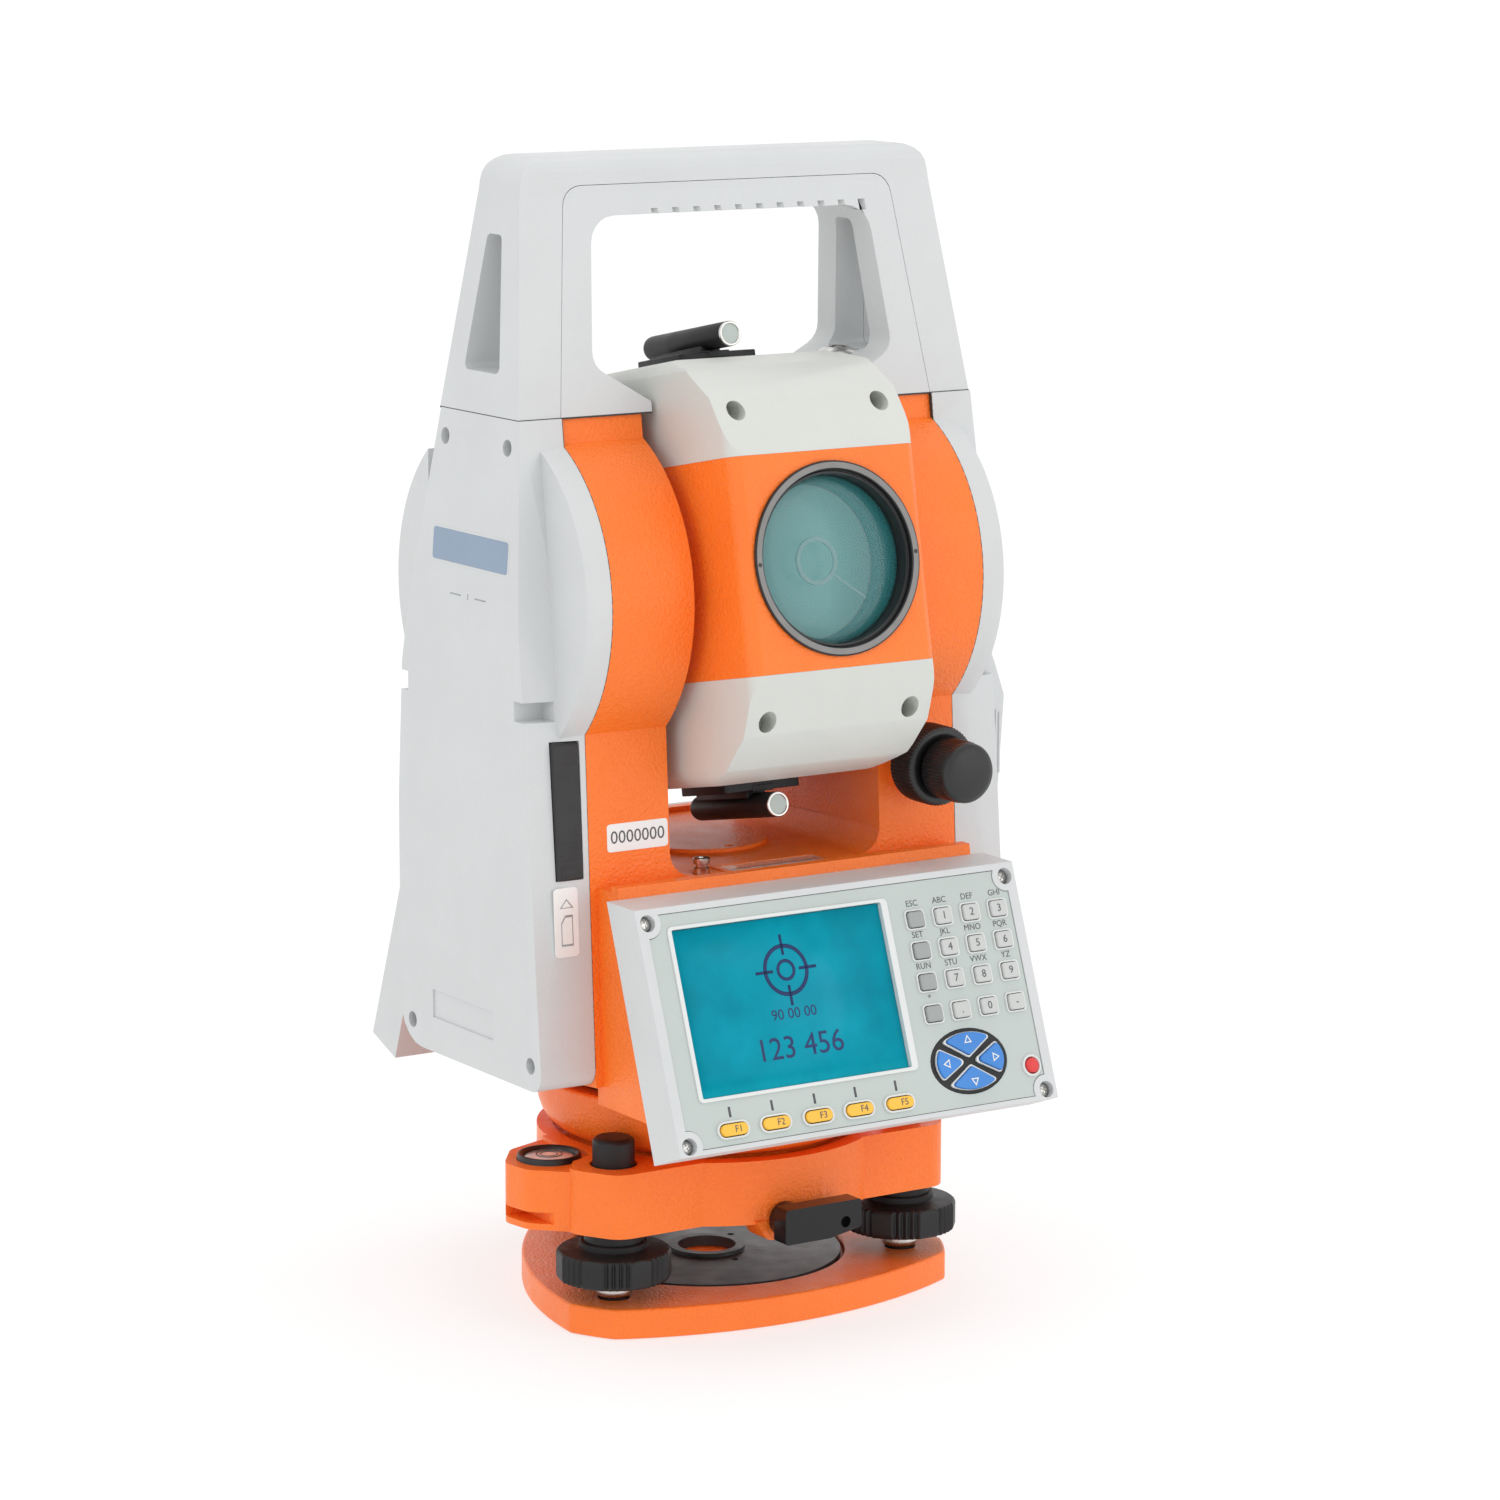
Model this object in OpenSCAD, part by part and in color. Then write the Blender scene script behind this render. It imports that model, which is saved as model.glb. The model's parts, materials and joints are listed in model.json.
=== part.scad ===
// Surveying total station: three-screw base, turning alidade with two consoles,
// transit telescope and carrying handle.
// Millimetres. +Z is up, the origin is on the vertical axis at the underside of the base plate,
// and the objective looks towards -Y.

/* [Base plate] */
// Thickness of the base plate
plate_t = 8.5; // [8:0.1:9]
// Distance from the axis to the middle of a plate edge
plate_edge_r = 53.2; // [52:0.1:54]
// Distance from the axis to a plate corner
plate_corner_r = 68.5; // [67:0.5:70]
// Radius of the tripod screw hole, for the 5/8 inch thread
tripod_r = 7.94; // [7.5:0.01:8]
// Radius of the black spring plate
spring_plate_r = 38.5; // [36:0.5:38.5]

/* [Foot screws] */
// Distance from the axis to each foot screw
foot_r = 55.6; // [55:0.1:56]
// Radius of a foot screw's knob
knob_r = 16.1; // [14:0.1:16.2]
// Height of a knob's underside
knob_z = 13.6; // [13:0.1:14]
// Height of a knob
knob_h = 9.1; // [8:0.1:9.5]
// Radius of a foot screw's threaded shank
shank_r = 4; // [3:0.1:4.5]

/* [Tribrach] */
// Height of the tribrach's underside
tribrach_z = 28.2; // [28:0.1:28.5]
// Height of the tribrach's top face
tribrach_top = 46.4; // [46:0.1:46.8]
// Radius of the tribrach's round middle
tribrach_r = 48.7; // [48:0.1:49]
// Radius of the recess that the instrument base drops into
recess_r = 44.1; // [43:0.1:45]

/* [Instrument base] */
// Radius of the fixed drum
drum_r = 48.5; // [47:0.1:48.6]
// Height of the drum's top face
drum_top = 62.5; // [60:0.1:63]
// Radius of the alidade's spindle
spindle_r = 12; // [10:0.1:13]

/* [Alidade] */
// Half the width of the casting, up to the side covers
frame_w = 60.5; // [60:0.1:61]
// Half the clear width between the standards
gap_w = 34.7; // [34:0.1:36]
// Height of the deck between the standards
deck_z = 127; // [125:0.1:127]
// Height of the trunnion axis
trunnion_z = 203.7; // [203.5:0.1:205]
// Radius of the round swelling of each standard
bulge_r = 48.5; // [48:0.1:49]
// Height of the seam between standards and handle
seam_z = 253.6; // [253.6:0.1:254]
// Greatest half width across the side covers
cover_w = 77.5; // [76:0.1:78]
// Wall thickness of the moulded covers
wall = 2.5; // [1.5:0.1:3]

/* [Handle] */
// Height of the top of the handle
handle_top = 323; // [321:0.5:325]
// Height of the underside of the grip bar
grip_z = 306.6; // [304:0.1:308]
// Half the width of the hand opening at the top
opening_w = 45; // [43:0.5:46]

/* [Consoles] */
// Lean of each console from the vertical, in degrees
lean = 20.4; // [20.4:0.1:20.5]
// Half the width of a console
console_w = 62; // [61.5:0.1:63]
// How far a key stands proud of its plate
key_proud = 1.3; // [1.1:0.1:1.6]

/* [Telescope] */
// Upward pitch of the telescope at rest, in degrees
pitch = 11; // [0:1:15]
// Half the width of the telescope
scope_w = 30; // [28:0.1:31]
// Half the height of the telescope
scope_h = 58.3; // [56:0.1:58.5]
// Half the height of the painted middle block
block_h = 29.5; // [28:0.1:30]
// Distance from the trunnion axis to the front face
scope_front = 66.5; // [64:0.1:66.5]
// Clear radius of the objective
aperture_r = 22.9; // [20:0.1:23.5]
// Radius of the trunnion shafts
trunnion_r = 8; // [6:0.1:9]

/* [Hidden] */
$fn = 64;

// Colours
orange = "#f07a28";
grey = "#d3d6d3";
dark = "#26272a";
steel = "#b9bcc0";
glass = "#6fa9a5";

// Clearances
slip = 0.3;
fit = 0.05;
cut = 1;

// Directions of the three foot screws
foot_angles = [-150, -30, 90];

// Casting outline, in the plane across the trunnion axis
body_z = 72;
shoulder_z = 170;
body_front = 39.2;
body_rear = 39.6;
shoulder_front = 33.8;
shoulder_rear = 38;
top_front = 21.1;
top_rear = 20.5;
casting_outline = [
    [-body_front, body_z], [-shoulder_front, shoulder_z], [-top_front, seam_z],
    [top_rear, seam_z], [shoulder_rear, shoulder_z], [body_rear, body_z + 60], [body_rear, body_z]
];

// Outer face of the side covers
cover_top_w = 73.8;
cover_break_z = 200;
cover_front = [-38.9, -22.5];
cover_rear = [39.6, 20];
cover_rear_shoulder = [37, 181];
wing_w = 68;
wing_r = 47.9;
rear_wing_w = 72.4;
screw_spots = [[-16.9, 246], [16.9, 246], [-32.8, 79], [32.8, 79]];
pocket_w = gap_w + 4;
pocket_z = [88, 240];
slot_z = [173, 178.5];

// Console frame: u across, v up the face, w out of the face
console_at = [0, -73.5, 93.6];
face_low = -33;
face_high = 34;
console_t = 14;
plate_sink = 0.3;
plate_thick = 1.7;
well_depth = 9;
console_screws = [[-58.6, -30.3], [58.6, -30.3], [-58.6, 30.3], [58.6, 30.3]];
f_key_u = [-44.2, -30.7, -17, -3.7, 9.6];
f_key_v = -27.6;
f_key_size = [8.6, 3.3];
pad_u = [26.2, 35.4, 44.7, 54];
pad_v = [21.6, 12.8, 4, -4.9];
pad_size = [5.2, 4.4];
nav_at = [35, -19.2];
nav_size = [12.8, 9.2];
power_at = [55.2, -23.1];
power_r = 2.1;
screen_low = [-51.6, -18.2];
screen_high = [15.7, 27.5];
key_root = 4;

// Clamp and tangent screws
v_knob_at = [45.5, 152.5];
h_knob_at = [5, 88];
ring_r = 11.4;
fine_r = 8.8;
sleeve_r = 6.4;
rod_r = 3.5;

// Data port on the left cover: its width, lower edge and hinge
port_x = [-70.5, -62.5];
port_z = 130;
port_hinge = [-32.4, 165.9];
port_hinge_r = 1.5;

// Battery
battery_y = 27;
battery_z = [105, 182];
battery_in = 66;

// Telescope outline from the trunnion axis, towards the objective and up
scope_back = 55;
scope_outline = [
    [scope_front, -block_h], [scope_front, block_h], [58, 46], [47, 54.6], [34, scope_h],
    [-30, scope_h], [-46, 50], [-scope_back, block_h], [-scope_back, -block_h],
    [-46, -50], [-30, -scope_h], [34, -scope_h], [47, -54.6], [58, -46]
];
sight_v = 65.4;
sight_r = 3.6;

// Tribrach fittings
level_at = [-57.8, -9.1];
level_r = 9;
level_pad_z = tribrach_top - 1.2;
cap_r = 5.9;
cap_seat = 3;
recess_t = 1.4;
seat_t = 4;
drum_foot_r = 39.7;

// Handle: half widths of its silhouette and of the seam round its insert
handle_base_w = cover_top_w;
handle_top_w = 65.5;
insert_top = 314.9;
insert_low_w = 60.4;
insert_high_w = 52.8;

// Lock lever
lever_at = [-5.5, 29.4];
lever_front = 58.2;
lever_t = 6;

function unit(v) = v / norm(v);
function signed_turn(from, to) =
    let (d = to - from) d > 180 ? d - 360 : d < -180 ? d + 360 : d;
function corner_arc(before, at, after, r) =
    let (
        u = unit(before - at),
        v = unit(after - at),
        half = acos(u * v) / 2,
        centre = at + unit(u + v) * r / sin(half),
        first = at + u * r / tan(half) - centre,
        last = at + v * r / tan(half) - centre,
        start = atan2(first.y, first.x),
        sweep = signed_turn(start, atan2(last.y, last.x)),
        steps = max(2, ceil(abs(sweep) / 18))
    )
    [for (i = [0:steps]) centre + r * [cos(start + sweep * i / steps), sin(start + sweep * i / steps)]];
// Points of an outline with corner i rounded to radii[i], or every corner to one radius
function rounded(points, radii) =
    let (n = len(points))
    [for (i = [0:n - 1])
        let (r = is_list(radii) ? radii[i] : radii)
        each r > 0 ? corner_arc(points[(i + n - 1) % n], points[i], points[(i + 1) % n], r) : [points[i]]];
function box_points(low, high) = [low, [high.x, low.y], high, [low.x, high.y]];
function polar(r, angle) = [r * cos(angle), r * sin(angle)];

// Extrudes a [y, z] outline from x0 to x1
module along_x(x0, x1) {
    translate([x0, 0, 0]) rotate([90, 0, 90]) linear_extrude(x1 - x0) children();
}

// Extrudes an [x, z] outline from y0 to y1
module along_y(y0, y1) {
    translate([0, y1, 0]) rotate([90, 0, 0]) linear_extrude(y1 - y0) children();
}

module rod_x(x0, x1, at, r) {
    translate([x0, at.x, at.y]) rotate([0, 90, 0]) cylinder(h = x1 - x0, r = r);
}

module rod_y(y0, y1, at, r) {
    translate([at.x, y1, at.y]) rotate([90, 0, 0]) cylinder(h = y1 - y0, r = r);
}

module tube(z0, z1, outer, inner) {
    translate([0, 0, z0]) difference() {
        cylinder(h = z1 - z0, r = outer);
        translate([0, 0, -cut]) cylinder(h = z1 - z0 + 2 * cut, r = inner);
    }
}

module at_feet() {
    for (angle = foot_angles) rotate([0, 0, angle]) translate([foot_r, 0, 0]) children();
}

// ---------------------------------------------------------------- base

module plate_outline() {
    edge_arc_r = 125;
    intersection() {
        circle(r = plate_corner_r);
        translate(polar(edge_arc_r - plate_edge_r, foot_angles[0])) circle(r = edge_arc_r);
        translate(polar(edge_arc_r - plate_edge_r, foot_angles[1])) circle(r = edge_arc_r);
        translate(polar(edge_arc_r - plate_edge_r, foot_angles[2])) circle(r = edge_arc_r);
    }
}

module base_plate() {
    pan_r = spring_plate_r + 1;
    color(orange) difference() {
        linear_extrude(plate_t) plate_outline();
        translate([0, 0, -cut]) cylinder(h = plate_t + 2 * cut, r = tripod_r);
        translate([0, 0, plate_t - 2]) cylinder(h = 3, r = pan_r);
        at_feet() translate([0, 0, plate_t - 3]) cylinder(h = 4, r = shank_r + slip);
    }
}

module spring_plate() {
    screw_circle_r = 15;
    color(dark) difference() {
        union() {
            translate([0, 0, plate_t - 2]) cylinder(h = 2, r = spring_plate_r);
            translate([0, 0, plate_t]) cylinder(h = 1, r = 11);
        }
        translate([0, 0, plate_t - 3]) cylinder(h = 5, r = tripod_r + 0.4);
        for (angle = foot_angles + [60, 60, 60])
            translate([screw_circle_r * cos(angle), screw_circle_r * sin(angle), plate_t - 3])
                cylinder(h = 5, r = 1);
    }
}

module foot_screw(angle) {
    rib_count = 24;
    shoulder_r = 9.6;
    shoulder_h = 2.2;
    neck_r = 8.3;
    knob_top = knob_z + knob_h;
    color(dark) rotate([0, 0, angle]) translate([foot_r, 0, 0]) {
        difference() {
            union() {
                translate([0, 0, knob_z]) cylinder(h = knob_h - 0.5, r = knob_r);
                translate([0, 0, knob_top - 0.5]) cylinder(h = 0.5, r1 = knob_r - 0.5, r2 = shoulder_r + 1);
            }
            for (i = [0:rib_count - 1]) rotate([0, 0, i * 360 / rib_count])
                translate([knob_r + 0.2, 0, knob_z - cut]) cylinder(h = knob_h + 2 * cut, r = 0.9, $fn = 16);
        }
        translate([0, 0, knob_top]) cylinder(h = shoulder_h, r = shoulder_r);
        translate([0, 0, knob_top]) cylinder(h = tribrach_z - knob_top - slip, r = neck_r);
        translate([0, 0, plate_t + slip]) cylinder(h = knob_z - plate_t - slip, r = 5.2);
        translate([0, 0, plate_t - 3]) cylinder(h = tribrach_top - plate_t - 1, r = shank_r);
    }
}

module foot_screw_left() foot_screw(foot_angles[0]);
module foot_screw_right() foot_screw(foot_angles[1]);
module foot_screw_rear() foot_screw(foot_angles[2]);

// Lobe of the tribrach that carries the circular level
module level_lobe() {
    polygon(rounded([[-40, -34], [-56, -30], [-69.5, -17], [-71, -7], [-62.5, 4.5], [-49, 9.5], [-36, 2]],
        [0, 3, 6, 6, 5, 5, 0]));
}

module tribrach_outline() {
    edge_d = 40.5;
    corner_d = 67;
    half = (edge_d - corner_d * cos(60)) / sin(60);
    corners = [for (angle = foot_angles) each
        [polar(corner_d, angle) + polar(half, angle - 90), polar(corner_d, angle) + polar(half, angle + 90)]];
    polygon(rounded(corners, 7));
    level_lobe();
    circle(r = tribrach_r);
}

module tribrach_body() {
    ring_pocket_r = 37.5;
    lever_web = [[-14, tribrach_z + 1], [-10.5, 23.4], [-0.5, 23.4], [9, tribrach_z + 1]];
    color(orange) difference() {
        union() {
            translate([0, 0, tribrach_z]) linear_extrude(tribrach_top - tribrach_z) tribrach_outline();
            along_y(-tribrach_r + 0.6, -ring_pocket_r - 2) polygon(rounded(lever_web, [0, 3, 3, 0]));
        }
        translate([0, 0, tribrach_top - recess_t]) cylinder(h = 9, r = recess_r);
        translate([0, 0, tribrach_top - seat_t]) cylinder(h = 9, r = drum_foot_r + slip);
        translate([0, 0, tribrach_z - cut]) cylinder(h = 30, r = 19);
        translate([0, 0, tribrach_z - cut]) cylinder(h = 7, r = ring_pocket_r);
        at_feet() {
            translate([0, 0, tribrach_z - cut]) cylinder(h = 30, r = shank_r + fit);
            translate([0, 0, tribrach_top - cap_seat]) cylinder(h = 10, r = cap_r + 0.7);
        }
        rod_y(-60, -30, lever_at, 3 + fit);
        translate([0, 0, level_pad_z]) linear_extrude(5) difference() {
            level_lobe();
            translate(polar(foot_r, foot_angles[0])) circle(r = 11.5);
            circle(r = tribrach_r + 1.5);
        }
        translate([level_at.x, level_at.y, level_pad_z]) cylinder(h = 5, r = level_r + 1.4);
        translate([level_at.x, level_at.y, level_pad_z - 7]) cylinder(h = 12, r = level_r + 0.1);
        translate([-75, -26, 30]) cube([11, 20, 3.2]);
    }
}

module screw_caps() {
    cap_h = 7.8;
    color(dark) at_feet() translate([0, 0, tribrach_top]) {
        translate([0, 0, -cap_seat]) cylinder(h = cap_seat + cap_h - 1, r = cap_r);
        translate([0, 0, cap_h - 1]) cylinder(h = 1, r1 = cap_r, r2 = cap_r - 1);
    }
}

module circular_level() {
    color(dark) translate([level_at.x, level_at.y, level_pad_z]) {
        tube(-5, 1.7, level_r, 6.4);
        translate([0, 0, -7]) cylinder(h = 2, r = level_r);
        translate([0, 0, -5]) cylinder(h = 5.8, r = 6.4);
    }
}

module lock_ring() {
    ring_z = tribrach_z + 1;
    color(steel) difference() {
        union() {
            tube(ring_z, ring_z + 4, 36.5, 20);
            for (angle = [30, 150, 270]) rotate([0, 0, angle])
                translate([22, -5, ring_z - 6]) cube([5, 10, 8]);
        }
        translate([0, 0, ring_z - 8]) cylinder(h = 14, r = 20);
    }
}

module lock_lever() {
    bar = [[-5.5, -5], [9.3, -5], [19.8, -3.1], [19.8, 5], [-5.5, 5]];
    back = -lever_front + lever_t;
    color(dark) {
        difference() {
            translate([lever_at.x, 0, lever_at.y])
                along_y(-lever_front, back) polygon(rounded(bar, [1, 1, 1, 1, 1]));
            rod_y(-lever_front - cut, -lever_front + 2.5, lever_at + [14.5, -1], 1.6);
        }
        rod_y(back - 0.1, -tribrach_r - slip, lever_at, 5);
        rod_y(-tribrach_r - 2, -38, lever_at, 3);
    }
}

// ---------------------------------------------------------------- instrument base and vertical axis

module base_drum() {
    foot = tribrach_top - seat_t + slip;
    hub_r = 18;
    belly_h = 10.6;
    belly = [for (a = [0:15:90])
        [drum_foot_r + (drum_r - drum_foot_r) * sin(a), tribrach_top + belly_h * (1 - cos(a))]];
    color(orange) difference() {
        union() {
            rotate_extrude() polygon(concat([[0, foot], [drum_foot_r, foot]], belly, [[drum_r, drum_top], [0, drum_top]]));
            translate([0, 0, 30]) cylinder(h = 37, r = hub_r);
        }
        translate([0, 0, 30 - cut]) cylinder(h = 50, r = spindle_r + fit);
        difference() {
            translate([0, 0, drum_top - 9]) cylinder(h = 10, r = 42);
            translate([0, 0, drum_top - 10]) cylinder(h = 15, r = hub_r);
        }
    }
}

module horizontal_circle() {
    color(glass) tube(67, 69, 31, spindle_r + 2);
}

module axis_spindle() {
    color(steel) tube(36, 100, spindle_r, 6.5);
}

module laser_plummet() {
    color(dark) {
        translate([0, 0, 44]) cylinder(h = 50, r = 6.4);
        translate([0, 0, 40]) cylinder(h = 4, r = 5);
    }
}

// ---------------------------------------------------------------- alidade

module casting_profile() {
    polygon(casting_outline);
    translate([0, trunnion_z]) circle(r = bulge_r);
}

module pocket_profile() {
    polygon([
        [-body_front + 5, pocket_z[0]], [-shoulder_front + 5, shoulder_z], [-18, pocket_z[1]],
        [17, pocket_z[1]], [shoulder_rear - 5, shoulder_z], [body_rear - 5, body_z + 60],
        [body_rear - 5, pocket_z[0]]
    ]);
    intersection() {
        translate([0, trunnion_z]) circle(r = bulge_r - 4);
        translate([-60, pocket_z[0]]) square([120, pocket_z[1] - pocket_z[0]]);
    }
}

// Wedge of the casting that carries one console
module console_seat() {
    along_x(-58, 58) polygon([
        [-36, 66.5], [-68.36, 66.5], [-47.3, 125.5], [-46.6, 128.6], [-43.2, 128.6], [-43.2, 127], [-36, 127]
    ]);
}

module alidade_frame() {
    color(orange) difference() {
        union() {
            difference() {
                along_x(-frame_w, frame_w) casting_profile();
                along_y(-60, 60) polygon(rounded(
                    box_points([-gap_w, deck_z], [gap_w, seam_z + 10]), [7, 7, 0, 0]));
            }
            console_seat();
            rotate([0, 0, 180]) console_seat();
            translate([0, 0, drum_top + 2]) cylinder(h = 10, r = drum_r - 1);
            rod_y(-40.5, -30, v_knob_at, 9);
        }
        along_x(pocket_w, frame_w + cut) pocket_profile();
        along_x(-frame_w - cut, -pocket_w) pocket_profile();
        translate([0, 0, drum_top]) cylinder(h = 37.5, r = 33);
        rod_x(-pocket_w - cut, pocket_w + cut, [0, trunnion_z], trunnion_r + fit);
        rod_y(-50, -20, v_knob_at, sleeve_r + fit);
        translate([-18, -43, deck_z - 4]) cube([36, 15, 6]);
        translate([-24, -35, deck_z - 4]) cylinder(h = 6, r = 2.5);
        for (side = [-1, 1], spot = screw_spots) rod_x(side * 57 - 5, side * 57 + 5, spot, 1.55);
    }
}

module deck_cover() {
    color(orange) translate([0, 6, deck_z]) difference() {
        cylinder(h = 1.2, r = 20.5);
        translate([0, -17.5, -cut]) cylinder(h = 4, r = 1.3);
    }
}

module plate_level() {
    color(glass) {
        difference() {
            translate([-17.9, -42.9, deck_z - 3.9]) cube([35.8, 14.8, 4.3]);
            translate([-14, -39.5, deck_z - 1]) cube([28, 8, 3]);
        }
        rod_x(-13.5, 13.5, [-35.5, deck_z - 1.7], 1.9);
    }
}

// Side cover body: the outer face is flat and leans in above the break
module cover_block(inset) {
    low = body_z + inset;
    high = seam_z - inset;
    hull() {
        along_x(frame_w - cut * sign(inset), frame_w + 0.5) polygon(rounded([
            [-body_front + inset, low], [-shoulder_front + inset, shoulder_z], [-top_front + inset, high],
            [top_rear - inset, high], [shoulder_rear - inset, shoulder_z], [body_rear - inset, low]
        ], [5, 0, 0, 0, 0, 12]));
        along_x(cover_w - inset - 0.5, cover_w - inset) polygon(rounded([
            [cover_front[0] + inset, low], [-27.6 + inset, cover_break_z],
            [cover_rear_shoulder.x - 4.5 - inset, cover_break_z],
            [cover_rear_shoulder.x - inset, cover_rear_shoulder.y], [cover_rear[0] - inset, body_z + 70],
            [cover_rear[0] - inset, low]
        ], [5, 0, 0, 0, 0, 12]));
        along_x(frame_w, cover_top_w - inset) polygon([
            [cover_front[1] + inset, high - 0.5], [cover_rear[1] - inset, high - 0.5],
            [cover_rear[1] - inset, high], [cover_front[1] + inset, high]
        ]);
    }
}

// Round wing that carries on the standard's swelling
module wing(inset) {
    translate([frame_w - cut * sign(inset), 0, trunnion_z]) rotate([0, 90, 0])
        cylinder(h = wing_w - frame_w - inset + cut * sign(inset), r1 = bulge_r - inset, r2 = wing_r - inset);
}

// Rear part of the wing, which stands out further
module rear_wing(inset) {
    intersection() {
        translate([frame_w - cut * sign(inset), 0, trunnion_z]) rotate([0, 90, 0])
            cylinder(h = rear_wing_w - frame_w - inset + cut * sign(inset), r = wing_r - 0.1 - inset);
        translate([0, 30 + inset, 140]) cube([100, 40, 120]);
    }
}

// Right-hand cover; the left one is its mirror image
module cover_shell() {
    post_r = 4.3;
    notch_h = slot_z[1] - slot_z[0];
    notch_y = [-28, 36.5];
    difference() {
        union() {
            cover_block(0);
            wing(0);
            rear_wing(0);
        }
        difference() {
            union() {
                cover_block(wall);
                wing(wall);
                rear_wing(wall);
            }
            for (spot = screw_spots) rod_x(frame_w - 2, cover_w, spot, post_r);
            for (y = notch_y) translate([wing_w - 3, y - 10, slot_z[0] - 3]) cube([12, 20, notch_h + 6]);
        }
        for (spot = screw_spots) {
            rod_x(frame_w - 2, cover_w + cut, spot, 1.6);
            rod_x(69, cover_w + cut, spot, 2.3);
        }
        for (i = [0, 1]) translate([wing_w + 0.6, notch_y[i] + (i == 0 ? -17 : -3), slot_z[0]])
            cube([12, 20, notch_h]);
    }
}

module left_cover() {
    color(grey) difference() {
        mirror([1, 0, 0]) cover_shell();
        translate([-cover_w - 0.2, -12.5, 82]) cube([0.7, 33.5, 8]);
        translate([port_x[0] - 0.2, -45, port_z - 0.2])
            cube([port_x[1] - port_x[0] + 0.4, 20, port_hinge.y + port_hinge_r - port_z + 0.4]);
    }
}

module right_cover() {
    color(grey) difference() {
        union() {
            cover_shell();
            translate([battery_in - wall, -battery_y - wall, battery_z[0] - wall])
                cube([9, 2 * (battery_y + wall), battery_z[1] - battery_z[0] + 2 * wall]);
        }
        translate([battery_in, -battery_y - slip, battery_z[0] - slip])
            cube([30, 2 * (battery_y + slip), battery_z[1] - battery_z[0] + 2 * slip]);
        rod_x(60, 90, h_knob_at, sleeve_r + fit);
    }
}

// Flap over the data port, hung on the round bead along its upper edge
module port_cover() {
    bead = port_hinge_r;
    color(dark) {
        along_x(port_x[0], port_x[1]) polygon([
            [-36.4, port_z], [port_hinge.x - bead, port_hinge.y],
            [port_hinge.x + bead, port_hinge.y], [-36.4 + 2 * bead, port_z]
        ]);
        rod_x(port_x[0], port_x[1], port_hinge, bead);
    }
}

module battery() {
    outline = [
        [battery_in + 1, battery_z[0]], [79, battery_z[0]], [80.4, 120], [82.5, 151], [83.6, 166],
        [78, battery_z[1]], [battery_in + 1, battery_z[1]]
    ];
    color(grey) intersection() {
        along_y(-battery_y, battery_y) polygon(rounded(outline, [0, 2, 0, 0, 4, 3, 0]));
        along_x(battery_in, 90) polygon(rounded(
            box_points([-battery_y, battery_z[0]], [battery_y, battery_z[1]]), 6));
    }
}

module main_board() {
    color("#2c6b45") {
        translate([-52, -28, 92]) cube([1.6, 56, 62]);
        translate([-49.9, -14, 112]) cube([2, 20, 20]);
        translate([-56, 6, 98]) cube([4, 14, 8]);
        difference() {
            translate([-69.3, -29.6, 139]) cube([5.6, 5, 18]);
            translate([-68, -30, 141]) cube([3, 3.4, 14]);
        }
    }
}

// ---------------------------------------------------------------- handle

module handle_silhouette() {
    polygon(rounded([
        [-handle_base_w, seam_z], [handle_base_w, seam_z], [handle_top_w, handle_top], [-handle_top_w, handle_top]
    ], [0, 0, 8, 8]));
}

module handle_depth() {
    polygon(rounded([
        [-21.8, seam_z], [20.6, seam_z], [11, 313], [10.4, handle_top], [-10.4, handle_top], [-11, 313]
    ], [0, 0, 0, 4.5, 4.5, 0]));
}

module insert_silhouette(grow) {
    polygon(rounded([
        [-insert_low_w - grow, seam_z - cut * grow], [insert_low_w + grow, seam_z - cut * grow],
        [insert_high_w + grow, insert_top + grow], [-insert_high_w - grow, insert_top + grow]
    ], [0, 0, 6, 6]));
}

module hand_opening() {
    polygon(rounded([
        [-31.5, seam_z - cut], [31.5, seam_z - cut], [31.5, 256.6], [49, 267], [opening_w, grip_z],
        [-opening_w, grip_z], [-49, 267], [-31.5, 256.6]
    ], [0, 0, 0.5, 6, 8, 8, 6, 0.5]));
}

module leg_window() {
    polygon(rounded([[-9.6, 265], [9.6, 265], [3.8, 302], [-3.8, 302]], 1.8));
}

module handle_shell() {
    color(grey) difference() {
        intersection() {
            along_y(-24, 24) handle_silhouette();
            along_x(-80, 80) handle_depth();
        }
        along_y(-30, 30) insert_silhouette(0.15);
        along_x(-90, 90) leg_window();
    }
}

module handle_insert() {
    groove_count = 11;
    groove_pitch = 6.8;
    color(grey) difference() {
        intersection() {
            along_y(-24, 24) insert_silhouette(0);
            along_x(-80, 80) handle_depth();
        }
        along_y(-30, 30) hand_opening();
        along_x(-90, 90) leg_window();
        for (i = [0:groove_count - 1])
            translate([1 + (i - (groove_count - 1) / 2) * groove_pitch, 0, grip_z]) rotate([0, 0, 35])
                cube([1.8, 40, 3], center = true);
        for (side = [-1, 1]) translate([side * 43.5, 0, 262.6]) cylinder(h = 10, r = 6.2);
    }
}

module fasteners() {
    color(steel) {
        for (side = [-1, 1], spot = screw_spots) {
            rod_x(side * 61.2 - 8.7, side * 61.2 + 8.7, spot, 1.5);
            rod_x(side * 70.6 - 0.8, side * 70.6 + 0.8, spot, 2.2);
        }
        for (side = [-1, 1]) translate([side * 43.5, 0, 262.6]) {
            cylinder(h = 2, r = 5.8);
            translate([0, 0, 2]) cylinder(h = 1.4, r1 = 5.8, r2 = 4);
        }
        translate([-24, -35, deck_z - 3.8]) cylinder(h = 8.3, r = 2.4);
        for (turn = [0, 180]) rotate([0, 0, turn]) on_console() for (spot = console_screws)
            translate([spot.x, spot.y, -4]) cylinder(h = 2.8, r = 2);
    }
}

// ---------------------------------------------------------------- consoles

module on_console() {
    translate(console_at) rotate([90 - lean, 0, 0]) children();
}

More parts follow.
